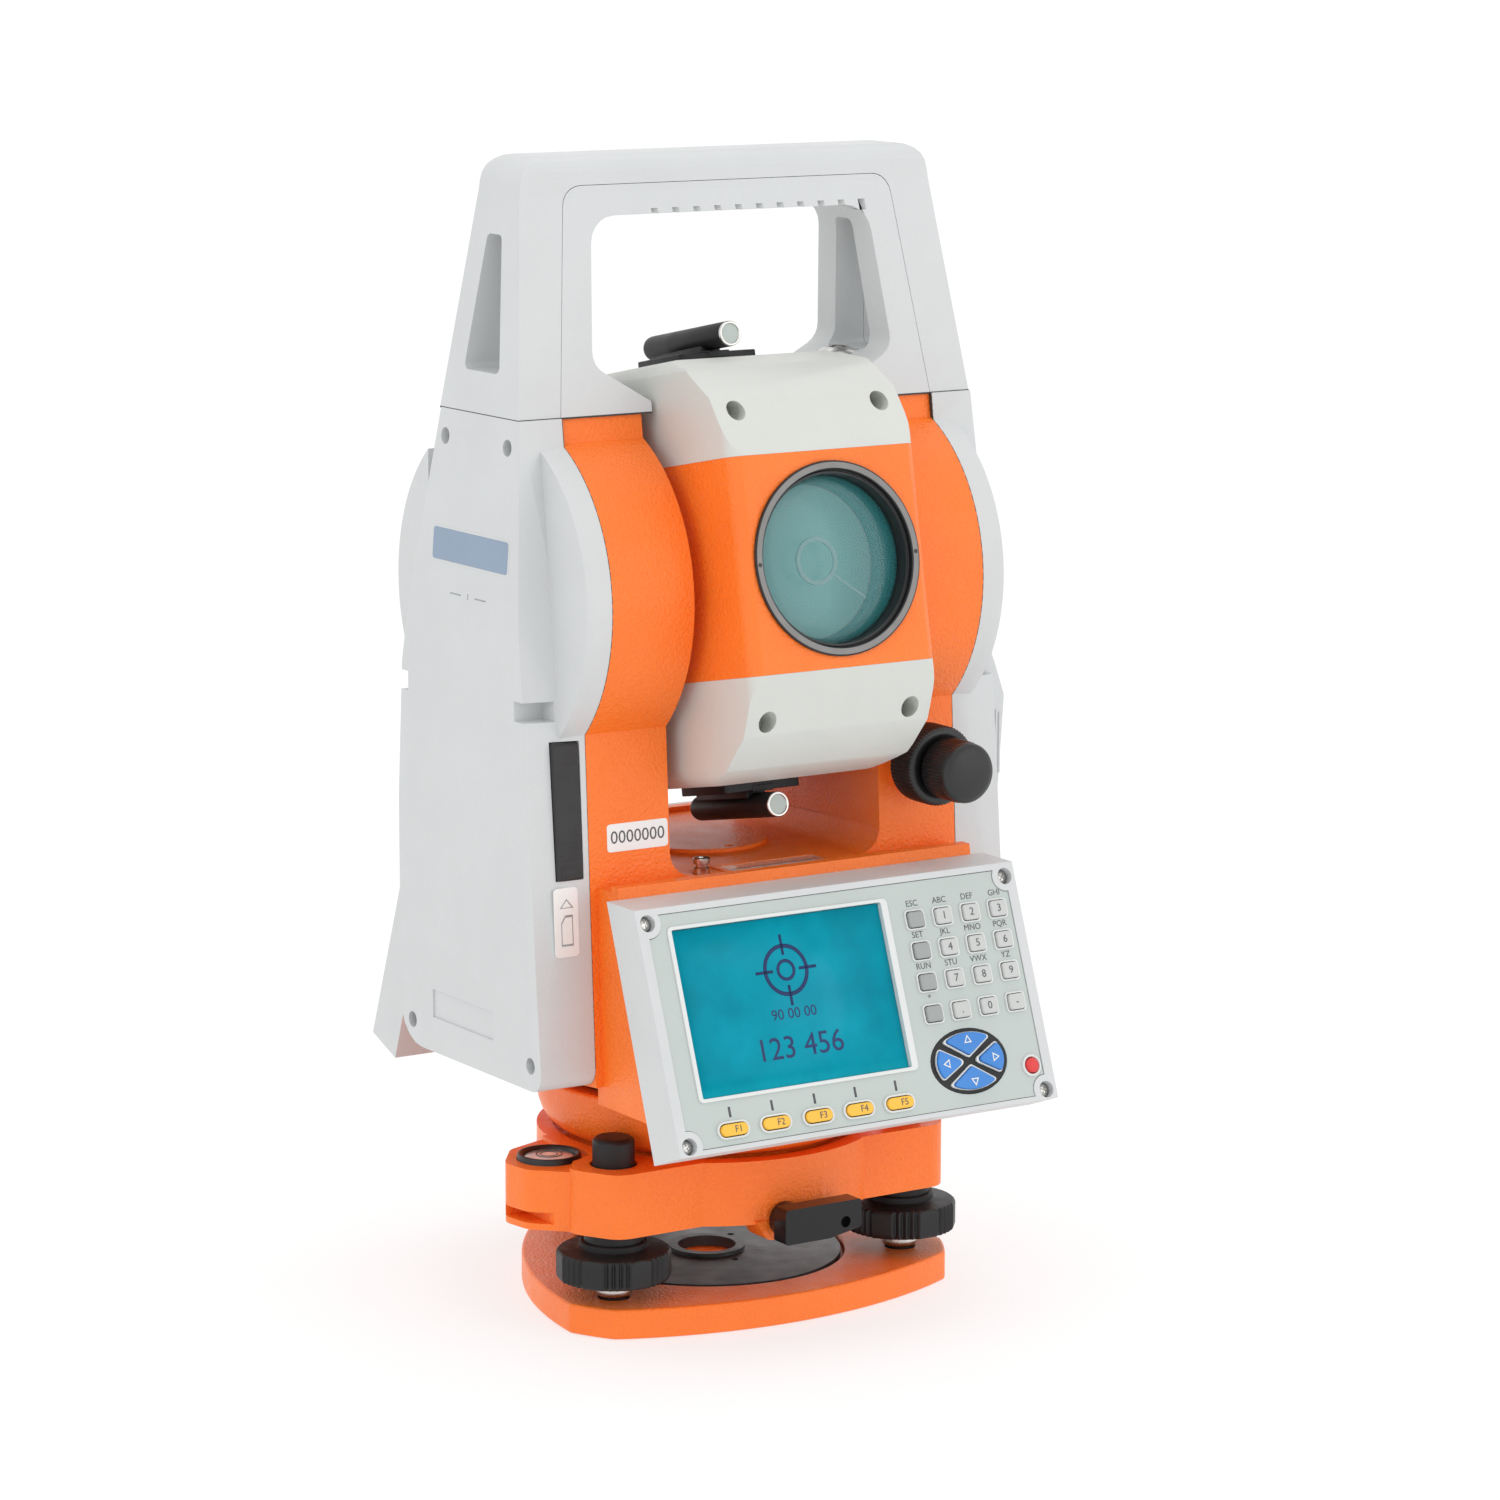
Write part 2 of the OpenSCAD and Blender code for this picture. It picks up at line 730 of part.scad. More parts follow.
module plate_shape(grow) {
    notch = 4.3 - grow;
    difference() {
        polygon(rounded(box_points([-58.8 - grow, -31.6 - grow], [58.8 + grow, 32.2 + grow]), 3));
        for (spot = console_screws) translate(spot) circle(r = notch);
    }
}

module housing() {
    difference() {
        along_x(-console_w, console_w) polygon([
            [-85, 62.6], [-61.6, 125.6], [-47.35, 125.6], [-68.4 - 0.35, 66.5 - 1], [-71.6, 57.6]
        ]);
        on_console() {
            translate([0, 0, -plate_sink - plate_thick]) linear_extrude(5) plate_shape(0.15);
            translate([0, 0, -well_depth]) linear_extrude(12) {
                polygon(box_points([-54, -25.8], [57.6, 26]));
                polygon(box_points([-51, -30.5], [17, -25]));
                polygon(box_points([-54, 20], [18.5, 29.2]));
                translate(nav_at) polygon(nav_ellipse(1));
            }
            for (spot = console_screws) translate([spot.x, spot.y, -5]) cylinder(h = 10, r = 2.3);
        }
    }
}

module keypad_plate() {
    gap = 0.25;
    on_console() difference() {
        translate([0, 0, -plate_sink - plate_thick]) linear_extrude(plate_thick) plate_shape(0);
        translate([0, 0, -6]) linear_extrude(10) {
            polygon(rounded(box_points(screen_low - [0.3, 0.3], screen_high + [0.3, 0.3]), 1));
            for (u = f_key_u) translate([u, f_key_v]) stadium(f_key_size + [2, 2] * gap);
            for (u = pad_u, v = pad_v) translate([u, v]) key_cap_shape(gap);
            translate(nav_at) polygon(nav_ellipse(1));
        }
        translate([power_at.x, power_at.y, -6]) cylinder(h = 10, r = power_r + gap);
    }
}

module display() {
    on_console() difference() {
        translate([-53, -19.4, -7]) cube([70.4, 48, 7 - plate_sink - plate_thick]);
        translate([-49.6, -16.2, -plate_sink - plate_thick - 0.6]) cube([63.3, 41.7, 2]);
    }
    on_console() translate([-49.4, -16, -plate_sink - plate_thick - 0.6]) cube([62.9, 41.3, 0.6]);
}

module stadium(size) {
    reach = (size.x - size.y) / 2;
    for (side = [-1, 1]) translate([side * reach, 0]) circle(d = size.y);
    square([2 * reach, size.y], center = true);
}

module key_cap_shape(grow) {
    half = pad_size / 2 + [grow, grow];
    polygon(rounded(box_points(-half, half), 0.9));
}

function nav_ellipse(part) = [for (a = [0:10:350]) [nav_size.x * cos(a), nav_size.y * sin(a)] * part];

// One of the four arrow keys, a rounded quarter of the ellipse
function nav_quarter(angle) =
    let (spread = 34, outer = 0.86, inner = 0.17, half = abs(sin(angle)) > 0.5 ? spread + 6 : spread - 4)
    concat(
        [[nav_size.x * cos(angle), nav_size.y * sin(angle)] * inner],
        [for (a = [angle - half:half / 4:angle + half]) [nav_size.x * cos(a), nav_size.y * sin(a)] * outer]
    );

module nav_key(angle) {
    on_console() translate([nav_at.x, nav_at.y, -key_root]) linear_extrude(key_root + key_proud - plate_sink)
        polygon(rounded(nav_quarter(angle), 0.5));
}

module f_key(index) {
    color("#f2c21a") on_console() translate([f_key_u[index], f_key_v, -key_root])
        linear_extrude(key_root + key_proud - plate_sink) stadium(f_key_size);
}

module pad_row(index) {
    color("#c9ccca") on_console() for (u = pad_u) translate([u, pad_v[index], -key_root])
        linear_extrude(key_root + key_proud - plate_sink) key_cap_shape(0);
}

module power_button() {
    on_console() translate([power_at.x, power_at.y, -key_root])
        cylinder(h = key_root + key_proud - plate_sink, r = power_r);
}

module front_housing() color(grey) housing();
module front_display() color("#18a0ae") display();
module front_keypad_plate() color("#c4c8c5") keypad_plate();
module rear_housing() color(grey) {
    rotate([0, 0, 180]) housing();
    translate([-56, 41, 62]) cube([18, 18, 4.4]);
}
module rear_display() color("#18a0ae") rotate([0, 0, 180]) display();
module rear_keypad_plate() color("#c4c8c5") rotate([0, 0, 180]) keypad_plate();
module key_f1() f_key(0);
module key_f2() f_key(1);
module key_f3() f_key(2);
module key_f4() f_key(3);
module key_f5() f_key(4);
module key_up() color("#3f86d8") nav_key(90);
module key_down() color("#3f86d8") nav_key(270);
module key_left() color("#3f86d8") nav_key(180);
module key_right() color("#3f86d8") nav_key(0);
module key_power() color("#d8352c") power_button();
module keypad_row_1() pad_row(0);
module keypad_row_2() pad_row(1);
module keypad_row_3() pad_row(2);
module keypad_row_4() pad_row(3);
module rear_keys() rotate([0, 0, 180]) {
    for (i = [0:4]) f_key(i);
    for (i = [0:3]) pad_row(i);
    color("#3f86d8") for (angle = [0:90:270]) nav_key(angle);
    color("#d8352c") power_button();
}

// ---------------------------------------------------------------- clamps and tangent screws

// Clamp ring and its sleeve, along +Z from the casting face
module clamp_ring() {
    rib_count = 36;
    difference() {
        union() {
            translate([0, 0, 7 + slip]) cylinder(h = 11 - slip, r = ring_r);
            translate([0, 0, -1]) cylinder(h = 9, r = sleeve_r);
        }
        translate([0, 0, -2]) cylinder(h = 30, r = rod_r + fit);
        for (i = [0:rib_count - 1]) rotate([0, 0, i * 360 / rib_count])
            translate([ring_r + 0.1, 0, 9]) cylinder(h = 12, r = 0.5, $fn = 16);
    }
}

// Fine screw knob and its rod, along +Z from the casting face
module tangent_knob() {
    rib_count = 30;
    difference() {
        union() {
            translate([0, 0, 18.3]) cylinder(h = 11, r = fine_r);
            translate([0, 0, 29.3]) cylinder(h = 2.2, r1 = fine_r, r2 = fine_r - 3);
            translate([0, 0, -4]) cylinder(h = 23, r = rod_r);
        }
        for (i = [0:rib_count - 1]) rotate([0, 0, i * 360 / rib_count])
            translate([fine_r + 0.1, 0, 17]) cylinder(h = 11, r = 0.45, $fn = 16);
    }
}

module at_v_knob() translate([v_knob_at.x, -33.5, v_knob_at.y]) rotate([90, 0, 0]) children();
module at_h_knob() translate([cover_w - 4, h_knob_at.x, h_knob_at.y]) rotate([0, 90, 0]) children();

module v_clamp_ring() color(dark) at_v_knob() clamp_ring();
module v_tangent_knob() color(dark) at_v_knob() tangent_knob();
module h_clamp_ring() color(dark) at_h_knob() clamp_ring();
module h_tangent_knob() color(dark) at_h_knob() tangent_knob();

// ---------------------------------------------------------------- telescope

// Telescope frame: -Y towards the objective, turned up by the rest pitch
module on_scope() {
    translate([0, 0, trunnion_z]) rotate([-pitch, 0, 0]) children();
}

// Slice of the telescope's outer form between two heights
module scope_slice(low, high, inset) {
    back = scope_back - inset;
    front = scope_front - inset;
    half = scope_w - inset;
    intersection() {
        along_x(-half, half) polygon([for (p = scope_outline)
            [-p.x + sign(p.x) * inset, p.y - sign(p.y) * inset * (abs(p.y) > block_h ? 1 : 0)]]);
        translate([0, 0, low]) linear_extrude(high - low) polygon(rounded(
            box_points([-half, -front], [half, back]), 4.5 - inset * 0.8));
        along_y(-front - cut, back + cut) polygon(rounded(
            box_points([-half, -scope_h + inset], [half, scope_h - inset]), 6 - inset));
    }
}

module optical_rod(from, to, r) {
    rod_y(-to, -from, [0, 0], r);
}

module telescope_body() {
    color(orange) on_scope() difference() {
        union() {
            scope_slice(-block_h, block_h, 0);
            optical_rod(-66.2, -scope_back + cut, 12);
        }
        optical_rod(52, scope_front + cut, 25.6 + fit);
        optical_rod(0, 53, 22);
        optical_rod(-scope_back + 5, 1, 14);
        optical_rod(-70, -scope_back + 6, 8.5);
    }
}

module scope_cap(side) {
    difference() {
        scope_slice(side > 0 ? block_h : -scope_h, side > 0 ? scope_h : -block_h, 0);
        scope_slice(side > 0 ? block_h - cut : -scope_h + wall, side > 0 ? scope_h - wall : -block_h + cut, wall);
    }
}

module telescope_covers() {
    color(grey) on_scope() difference() {
        for (side = [-1, 1]) scope_cap(side);
        for (x = [-23.2, 23.2], z = [-42, 42]) rod_y(-70, -50, [x, z], 2.8);
    }
}

module objective_ring() {
    color(dark) on_scope() difference() {
        union() {
            optical_rod(53, scope_front, 25.6);
            optical_rod(scope_front, scope_front + 0.9, 26.5);
        }
        optical_rod(60, scope_front + 2, aperture_r);
        optical_rod(52, 61, aperture_r - 1.5);
    }
}

module objective_lens() {
    color(glass) on_scope() {
        optical_rod(60.1, 63.5, aperture_r - 0.1);
        optical_rod(40, 60, 9);
    }
}

module sights() {
    color(dark) on_scope() for (side = [-1, 1]) {
        translate([-12.6, -18, side > 0 ? scope_h : -scope_h - 3]) cube([25.2, 24, 3]);
        rod_y(-25, 17, [0, side * sight_v], sight_r);
        translate([-2.5, -14, side > 0 ? scope_h + 2.9 : -scope_h - 4.5]) cube([5, 16, 1.6]);
    }
}

module trunnion_shafts() {
    color(steel) on_scope() {
        for (side = [-1, 1]) rod_x(side * 38.6 - 8.6, side * 38.6 + 8.6, [0, 0], trunnion_r);
    }
}

module vertical_circle() {
    color(glass) on_scope() difference() {
        rod_x(-44, -42, [0, 0], 32);
        rod_x(-45, -41, [0, 0], trunnion_r + fit);
    }
}

module focus_ring() {
    rib_count = 30;
    color(dark) on_scope() difference() {
        optical_rod(-65.8, -scope_back - slip, 19);
        optical_rod(-70, -50, 12 + fit);
        for (i = [0:rib_count - 1]) rotate([0, i * 360 / rib_count, 0])
            rod_y(scope_back + 3, scope_back + 9, [19.2, 0], 0.7, $fn = 16);
    }
}

module eyepiece() {
    color(dark) on_scope() difference() {
        union() {
            optical_rod(-72, -66.4, 13);
            optical_rod(-67, -56, 8.45);
        }
        optical_rod(-73, -55, 4.5);
    }
}

module focusing_lens() {
    color(glass) on_scope() difference() {
        optical_rod(-34, -20, 13.95);
        optical_rod(-35, -29, 9);
    }
}

// ---------------------------------------------------------------- assembly

base_plate();
spring_plate();
tribrach_body();
screw_caps();
circular_level();
foot_screw_left();
foot_screw_right();
foot_screw_rear();
lock_lever();
lock_ring();
base_drum();
horizontal_circle();
axis_spindle();
laser_plummet();
alidade_frame();
left_cover();
right_cover();
handle_shell();
handle_insert();
deck_cover();
plate_level();
fasteners();
main_board();
front_housing();
front_display();
front_keypad_plate();
rear_housing();
rear_display();
rear_keypad_plate();
port_cover();
battery();
v_clamp_ring();
v_tangent_knob();
h_clamp_ring();
h_tangent_knob();
telescope_body();
telescope_covers();
objective_ring();
objective_lens();
sights();
trunnion_shafts();
vertical_circle();
focus_ring();
eyepiece();
focusing_lens();
key_f1();
key_f2();
key_f3();
key_f4();
key_f5();
key_up();
key_down();
key_left();
key_right();
key_power();
keypad_row_1();
keypad_row_2();
keypad_row_3();
keypad_row_4();
rear_keys();
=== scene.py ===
"""Looks of the surveying total station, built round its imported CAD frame."""
import json
from math import atan2, cos, hypot, pi, radians, sin, tan

import bmesh
import bpy
from mathutils import Matrix, Vector


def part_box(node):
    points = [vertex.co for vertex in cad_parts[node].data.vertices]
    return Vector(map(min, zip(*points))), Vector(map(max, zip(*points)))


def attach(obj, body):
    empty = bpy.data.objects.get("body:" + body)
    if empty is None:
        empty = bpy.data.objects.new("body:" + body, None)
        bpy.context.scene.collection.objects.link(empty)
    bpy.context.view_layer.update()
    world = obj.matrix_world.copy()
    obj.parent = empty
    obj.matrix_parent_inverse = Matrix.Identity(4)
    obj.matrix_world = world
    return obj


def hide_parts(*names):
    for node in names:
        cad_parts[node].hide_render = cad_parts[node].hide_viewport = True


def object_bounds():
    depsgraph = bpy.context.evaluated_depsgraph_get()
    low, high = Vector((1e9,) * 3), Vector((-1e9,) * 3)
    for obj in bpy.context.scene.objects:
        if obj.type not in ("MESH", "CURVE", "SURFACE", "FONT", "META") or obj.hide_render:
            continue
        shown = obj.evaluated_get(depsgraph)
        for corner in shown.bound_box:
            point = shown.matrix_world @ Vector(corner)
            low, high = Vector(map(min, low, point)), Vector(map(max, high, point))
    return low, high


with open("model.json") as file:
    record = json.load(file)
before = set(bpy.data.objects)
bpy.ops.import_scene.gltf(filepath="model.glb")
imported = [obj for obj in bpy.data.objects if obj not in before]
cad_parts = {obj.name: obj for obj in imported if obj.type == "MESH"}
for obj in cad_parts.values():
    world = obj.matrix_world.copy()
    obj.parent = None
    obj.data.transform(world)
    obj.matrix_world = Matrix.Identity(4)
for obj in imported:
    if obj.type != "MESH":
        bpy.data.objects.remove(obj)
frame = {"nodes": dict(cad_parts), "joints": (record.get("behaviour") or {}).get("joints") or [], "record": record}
cad_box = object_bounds()
scene = bpy.context.scene
MM = 0.001
X, Y, Z = Vector((1, 0, 0)), Vector((0, 1, 0)), Vector((0, 0, 1))

# ---- places taken from the frame

joints = {joint["name"]: joint for joint in frame["joints"]}
body_of_node = {}
for body_name, members in frame["record"]["behaviour"]["bodies"].items():
    for member in members:
        body_of_node[member] = body_name
slot_of_node = {row["node"]: row["material_slot"] for row in frame["record"]["subparts"]}
trunnion = Vector(joints["telescope_tilt"]["pos_m"])
optical_axis = Vector(joints["focus_turn"]["axis"]).normalized()


def centre(node):
    """Middle of a CAD node's box."""
    low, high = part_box(node)
    return (low + high) / 2


def axes_frame(origin, x_axis, z_axis):
    """Matrix whose local X and Z run along the two given directions."""
    z_axis = z_axis.normalized()
    x_axis = (x_axis - z_axis * x_axis.dot(z_axis)).normalized()
    y_axis = z_axis.cross(x_axis)
    matrix = Matrix((x_axis, y_axis, z_axis)).transposed().to_4x4()
    matrix.translation = origin
    return matrix


def spot(matrix, x, y, z):
    """A point given in millimetres in a local frame."""
    return matrix @ Vector((x * MM, y * MM, z * MM))


def at(matrix, x, y, z):
    """A local frame moved along its own axes, in millimetres."""
    return matrix @ Matrix.Translation((x * MM, y * MM, z * MM))


def console_frame(node, key_joint):
    """Frame on a console's face: X across, Y up the face, Z out of it."""
    face_up, face_out = -0.3, 1.15
    outward = -Vector(joints[key_joint]["axis"]).normalized()
    across = Vector((-outward.y, 0, 0)).normalized()
    return at(axes_frame(centre(node), across, outward), 0, face_up, face_out)


front_console = console_frame("front_keypad_plate", "key_f1_press")
rear_console = console_frame("rear_keypad_plate", "rear_keys_press")
scope = axes_frame(trunnion, X, optical_axis)


# ---- materials

MOTTLE_SCALE = 45
GLOSS_SCALE = 160
SMEAR_SCALE = 220
COAT_ROUGHNESS = 0.12


def new_material(name):
    """Empty material with one Principled shader joined to its output."""
    material = bpy.data.materials.new(name)
    material.use_nodes = True
    tree = material.node_tree
    tree.nodes.clear()
    output = tree.nodes.new("ShaderNodeOutputMaterial")
    shader = tree.nodes.new("ShaderNodeBsdfPrincipled")
    tree.links.new(shader.outputs[0], output.inputs[0])
    return material, tree, shader


def fill(tree, node, inputs):
    """Sets or links a node's sockets."""
    for name, value in inputs.items():
        if isinstance(value, bpy.types.NodeSocket):
            tree.links.new(value, node.inputs[name])
        else:
            node.inputs[name].default_value = value


def add_node(tree, kind, inputs):
    """New node with its sockets set or linked."""
    node = tree.nodes.new("ShaderNode" + kind)
    fill(tree, node, inputs)
    return node


def object_place(tree):
    """The model's own coordinates."""
    return tree.nodes.new("ShaderNodeTexCoord").outputs["Object"]


def object_noise(tree, scale, detail=3.0, stretch=(1, 1, 1)):
    """Noise over the model's own coordinates, in features per metre."""
    mapping = add_node(tree, "Mapping", {"Vector": object_place(tree), "Scale": stretch})
    return add_node(tree, "TexNoise", {
        "Vector": mapping.outputs[0], "Scale": scale, "Detail": detail}).outputs[0]


def remap(tree, value, low, high):
    """Spreads the middle of a noise's range over low to high."""
    return add_node(tree, "MapRange", {
        "Value": value, "From Min": 0.3, "From Max": 0.7, "To Min": low, "To Max": high}).outputs[0]


def mixed(tree, a, b, factor, blend="MIX"):
    """Mix of two colours."""
    node = tree.nodes.new("ShaderNodeMix")
    node.data_type = "RGBA"
    node.blend_type = blend
    fill(tree, node, {"A": a, "B": b, "Factor": factor})
    return node.outputs["Result"]


def shade(colour, amount):
    """A colour made darker or lighter, with full alpha."""
    return tuple(max(0.0, min(1.0, channel * amount)) for channel in colour) + (1.0,)


def surface(name, colour, roughness, grain, height, variation=0.05, metallic=0.0, coat=0.0,
            stretch=(1, 1, 1), specular=0.5):
    """Solid finish: mottled colour, uneven gloss and a fine grain raised by height metres."""
    material, tree, shader = new_material(name)
    mottle = remap(tree, object_noise(tree, MOTTLE_SCALE, 4), 0, 1)
    gloss = object_noise(tree, GLOSS_SCALE, 3)
    bump = add_node(tree, "Bump", {
        "Strength": 1.0, "Distance": height, "Height": object_noise(tree, grain, 3, stretch)})
    fill(tree, shader, {
        "Base Color": mixed(tree, shade(colour, 1 - variation), shade(colour, 1 + variation), mottle),
        "Roughness": remap(tree, gloss, roughness - 0.05, roughness + 0.06),
        "Normal": bump.outputs[0], "Metallic": metallic, "Coat Weight": coat,
        "Coat Roughness": COAT_ROUGHNESS, "Specular IOR Level": specular})
    return material


def glass(name, colour, alpha, roughness=0.03):
    """Clear or tinted glass whose tint deepens slightly in patches."""
    material, tree, shader = new_material(name)
    smear = object_noise(tree, SMEAR_SCALE, 2)
    fill(tree, shader, {
        "Base Color": mixed(tree, shade(colour, 0.92), shade(colour, 1.05), object_noise(tree, 60, 2)),
        "Roughness": remap(tree, smear, roughness, roughness + 0.03),
        "Alpha": alpha, "Coat Weight": 0.6, "Coat Roughness": 0.02})
    return material


def ramp_along(tree, axis, low, high, stops):
    """Colour ramp along one axis of the model's coordinates, between two places in metres."""
    split = add_node(tree, "SeparateXYZ", {"Vector": object_place(tree)})
    span = add_node(tree, "MapRange", {"Value": split.outputs[axis], "From Min": low, "From Max": high})
    ramp = add_node(tree, "ValToRGB", {"Fac": span.outputs[0]})
    elements = ramp.color_ramp.elements
    while len(elements) < len(stops):
        elements.new(0.5)
    for element, (position, colour) in zip(elements, stops):
        element.position = position
        element.color = colour + (1.0,)
    return ramp.outputs[0]


def lit_screen():
    """Backlit display: even teal, brighter along the lower edge, with faint patches."""
    low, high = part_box("front_display")
    material, tree, shader = new_material("lcd_screen")
    rise = ramp_along(tree, "Z", low.z, high.z, [
        (0.0, (0.012, 0.38, 0.47)), (0.12, (0.0, 0.225, 0.305)), (0.5, (0.0, 0.195, 0.27)),
        (1.0, (0.0, 0.215, 0.29))])
    colour = mixed(tree, rise, remap(tree, object_noise(tree, 90, 2), 0.9, 1.12), 1.0, "MULTIPLY")
    fill(tree, shader, {"Base Color": colour, "Emission Color": colour, "Emission Strength": 0.45,
                        "Roughness": 0.3, "Specular IOR Level": 0.12})
    return material


ORANGE = surface("orange_enamel", (1.0, 0.195, 0.018), 0.36, 1150, 0.00045, 0.04, coat=0.08,
                 specular=0.42)
GREY = surface("grey_casing", (0.615, 0.63, 0.635), 0.42, 3600, 0.00006, 0.02)
GREEN_GREY = surface("green_grey_casing", (0.625, 0.635, 0.60), 0.40, 3600, 0.00005, 0.02)
PLATE = surface("keypad_plate_film", (0.49, 0.545, 0.52), 0.45, 4000, 0.00002, 0.02)
PLATE_EDGE = surface("pale_bezel", (0.70, 0.72, 0.71), 0.40, 4500, 0.00002, 0.02)
BLACK = surface("black_moulding", (0.013, 0.013, 0.014), 0.42, 2600, 0.00005, 0.15, specular=0.35)
LEVER_BLACK = surface("lever_gloss", (0.006, 0.006, 0.007), 0.16, 2600, 0.00002, 0.1, specular=0.4)
KNOB_BLACK = surface("black_knob", (0.011, 0.011, 0.012), 0.46, 2200, 0.00005, 0.15, specular=0.4)
ANODISED = surface("black_anodised", (0.012, 0.012, 0.013), 0.34, 3500, 0.00003, 0.12)
RING_METAL = surface("ring_metal", (0.20, 0.195, 0.19), 0.36, 1800, 0.00002, 0.06, metallic=0.85,
                     stretch=(1, 1, 6))
PLATE_BLACK = surface("spring_steel_black", (0.05, 0.05, 0.052), 0.36, 1400, 0.00003, 0.12,
                      metallic=0.3, stretch=(9, 1, 1))
RUBBER = surface("black_rubber", (0.026, 0.026, 0.028), 0.58, 2400, 0.00006, 0.12)
STEEL = surface("satin_steel", (0.60, 0.59, 0.57), 0.24, 1600, 0.00002, 0.06, metallic=1.0)
DARK_STEEL = surface("blued_steel", (0.20, 0.16, 0.15), 0.30, 900, 0.00006, 0.15, metallic=1.0)
BOARD = surface("green_board", (0.02, 0.13, 0.05), 0.35, 900, 0.00003, 0.2)
YELLOW = surface("yellow_key", (0.90, 0.50, 0.045), 0.42, 3500, 0.00002, 0.04)
BLUE = surface("blue_key", (0.035, 0.215, 0.62), 0.38, 3500, 0.00002, 0.05)
RED = surface("red_key", (0.72, 0.045, 0.045), 0.38, 3500, 0.00002, 0.05)
KEY_GREY = surface("grey_key", (0.55, 0.56, 0.55), 0.45, 3500, 0.00002, 0.03)
KEY_DARK = surface("dark_grey_key", (0.33, 0.35, 0.345), 0.45, 3500, 0.00002, 0.03)
INK = surface("dark_ink", (0.09, 0.09, 0.10), 0.55, 3000, 0.00001, 0.1)
LCD_INK = surface("display_ink", (0.0, 0.02, 0.11), 0.5, 3000, 0.00001, 0.1)
WHITE = surface("white_film", (0.84, 0.84, 0.83), 0.36, 3500, 0.00001, 0.02)
LABEL_BLUE = surface("pale_blue_film", (0.25, 0.33, 0.44), 0.34, 3500, 0.00001, 0.03)
# painted shade: near-black colour laid in seams, holes and recess floors where shade falls
SEAM_SHADE = surface("seam_shadow", (0.05, 0.05, 0.045), 0.7, 2000, 0.00002, 0.1)
VIAL = surface("vial_face", (0.80, 0.81, 0.80), 0.10, 900, 0.00001, 0.04, coat=1.0)
VIAL_TUBE = surface("vial_tube", (0.80, 0.80, 0.74), 0.12, 900, 0.00001, 0.05, coat=1.0)
BARREL_TEAL = surface("barrel_teal", (0.035, 0.13, 0.15), 0.3, 400, 0.00001, 0.2)
SCREEN = lit_screen()
CLEAR = glass("clear_glass", (0.85, 0.92, 0.92), 0.18)
LENS = glass("coated_glass", (0.05, 0.30, 0.31), 0.32, 0.02)
MATERIAL_OF_SLOT = {
    "orange_paint": ORANGE, "grey_shell": GREY, "green_grey_shell": GREEN_GREY, "grey_plate": PLATE,
    "black_plastic": BLACK, "black_metal": ANODISED, "steel": STEEL, "circle_glass": CLEAR,
    "level_glass": CLEAR, "coated_glass": LENS, "circuit_board": BOARD, "display": SCREEN,
    "rubber": RUBBER, "key_yellow": YELLOW, "key_blue": BLUE, "key_red": RED, "key_grey": KEY_GREY,
}

# ---- mesh helpers

EDGE_ANGLE = radians(28)
FLAT_ANGLE = radians(0.6)
WELD = 2e-6
STRAIGHT = radians(88)
TEXT_SCALE = 1.38


def linked(name, data):
    """New object in the scene."""
    thing = bpy.data.objects.new(name, data)
    scene.collection.objects.link(thing)
    return thing


def evaluated(thing):
    """Mesh of an object as it shows, with its modifiers applied."""
    graph = bpy.context.evaluated_depsgraph_get()
    return bpy.data.meshes.new_from_object(thing.evaluated_get(graph))


def apply_modifiers(piece):
    """Bakes a piece's modifiers into its mesh."""
    mesh = evaluated(piece)
    piece.modifiers.clear()
    piece.data = mesh


def bevelled(piece, width, segments=3, weights=False):
    """Rounds a piece's edges, either all sharp ones or by their stored weights."""
    bevel = piece.modifiers.new("rounding", "BEVEL")
    bevel.width = width
    bevel.segments = segments
    bevel.limit_method = "WEIGHT" if weights else "ANGLE"
    bevel.angle_limit = EDGE_ANGLE
    bevel.use_clamp_overlap = True
    bevel.harden_normals = True
    apply_modifiers(piece)


def cleaned(node):
    """Welded copy of a CAD node's mesh with its flat faces merged."""
    work = bmesh.new()
    work.from_mesh(frame["nodes"][node].data)
    bmesh.ops.remove_doubles(work, verts=work.verts, dist=WELD)
    bmesh.ops.dissolve_limit(work, angle_limit=FLAT_ANGLE, verts=work.verts, edges=work.edges)
    return work


def to_mesh(name, work):
    """Mesh made from a bmesh, which is freed."""
    mesh = bpy.data.meshes.new(name)
    work.to_mesh(mesh)
    work.free()
    return mesh


def rounded_node(node, width, weight=None, material=None, segments=3):
    """Stands for a CAD node with its edges rounded; weight(edge middle in mm) scales the width."""
    work = cleaned(node)
    layer = work.edges.layers.float.new("bevel_weight_edge")
    for edge in work.edges:
        if len(edge.link_faces) != 2 or edge.calc_face_angle(0) < EDGE_ANGLE:
            continue
        middle = (edge.verts[0].co + edge.verts[1].co) / 2
        edge[layer] = weight(middle / MM) if weight else 1.0
    slot = slot_of_node[node]
    piece = piece_from(node + "_looks", work, material or MATERIAL_OF_SLOT[slot], body_of_node[node],
                       slot, (node,), sharp=40)
    bevelled(piece, width * MM, segments, weights=True)


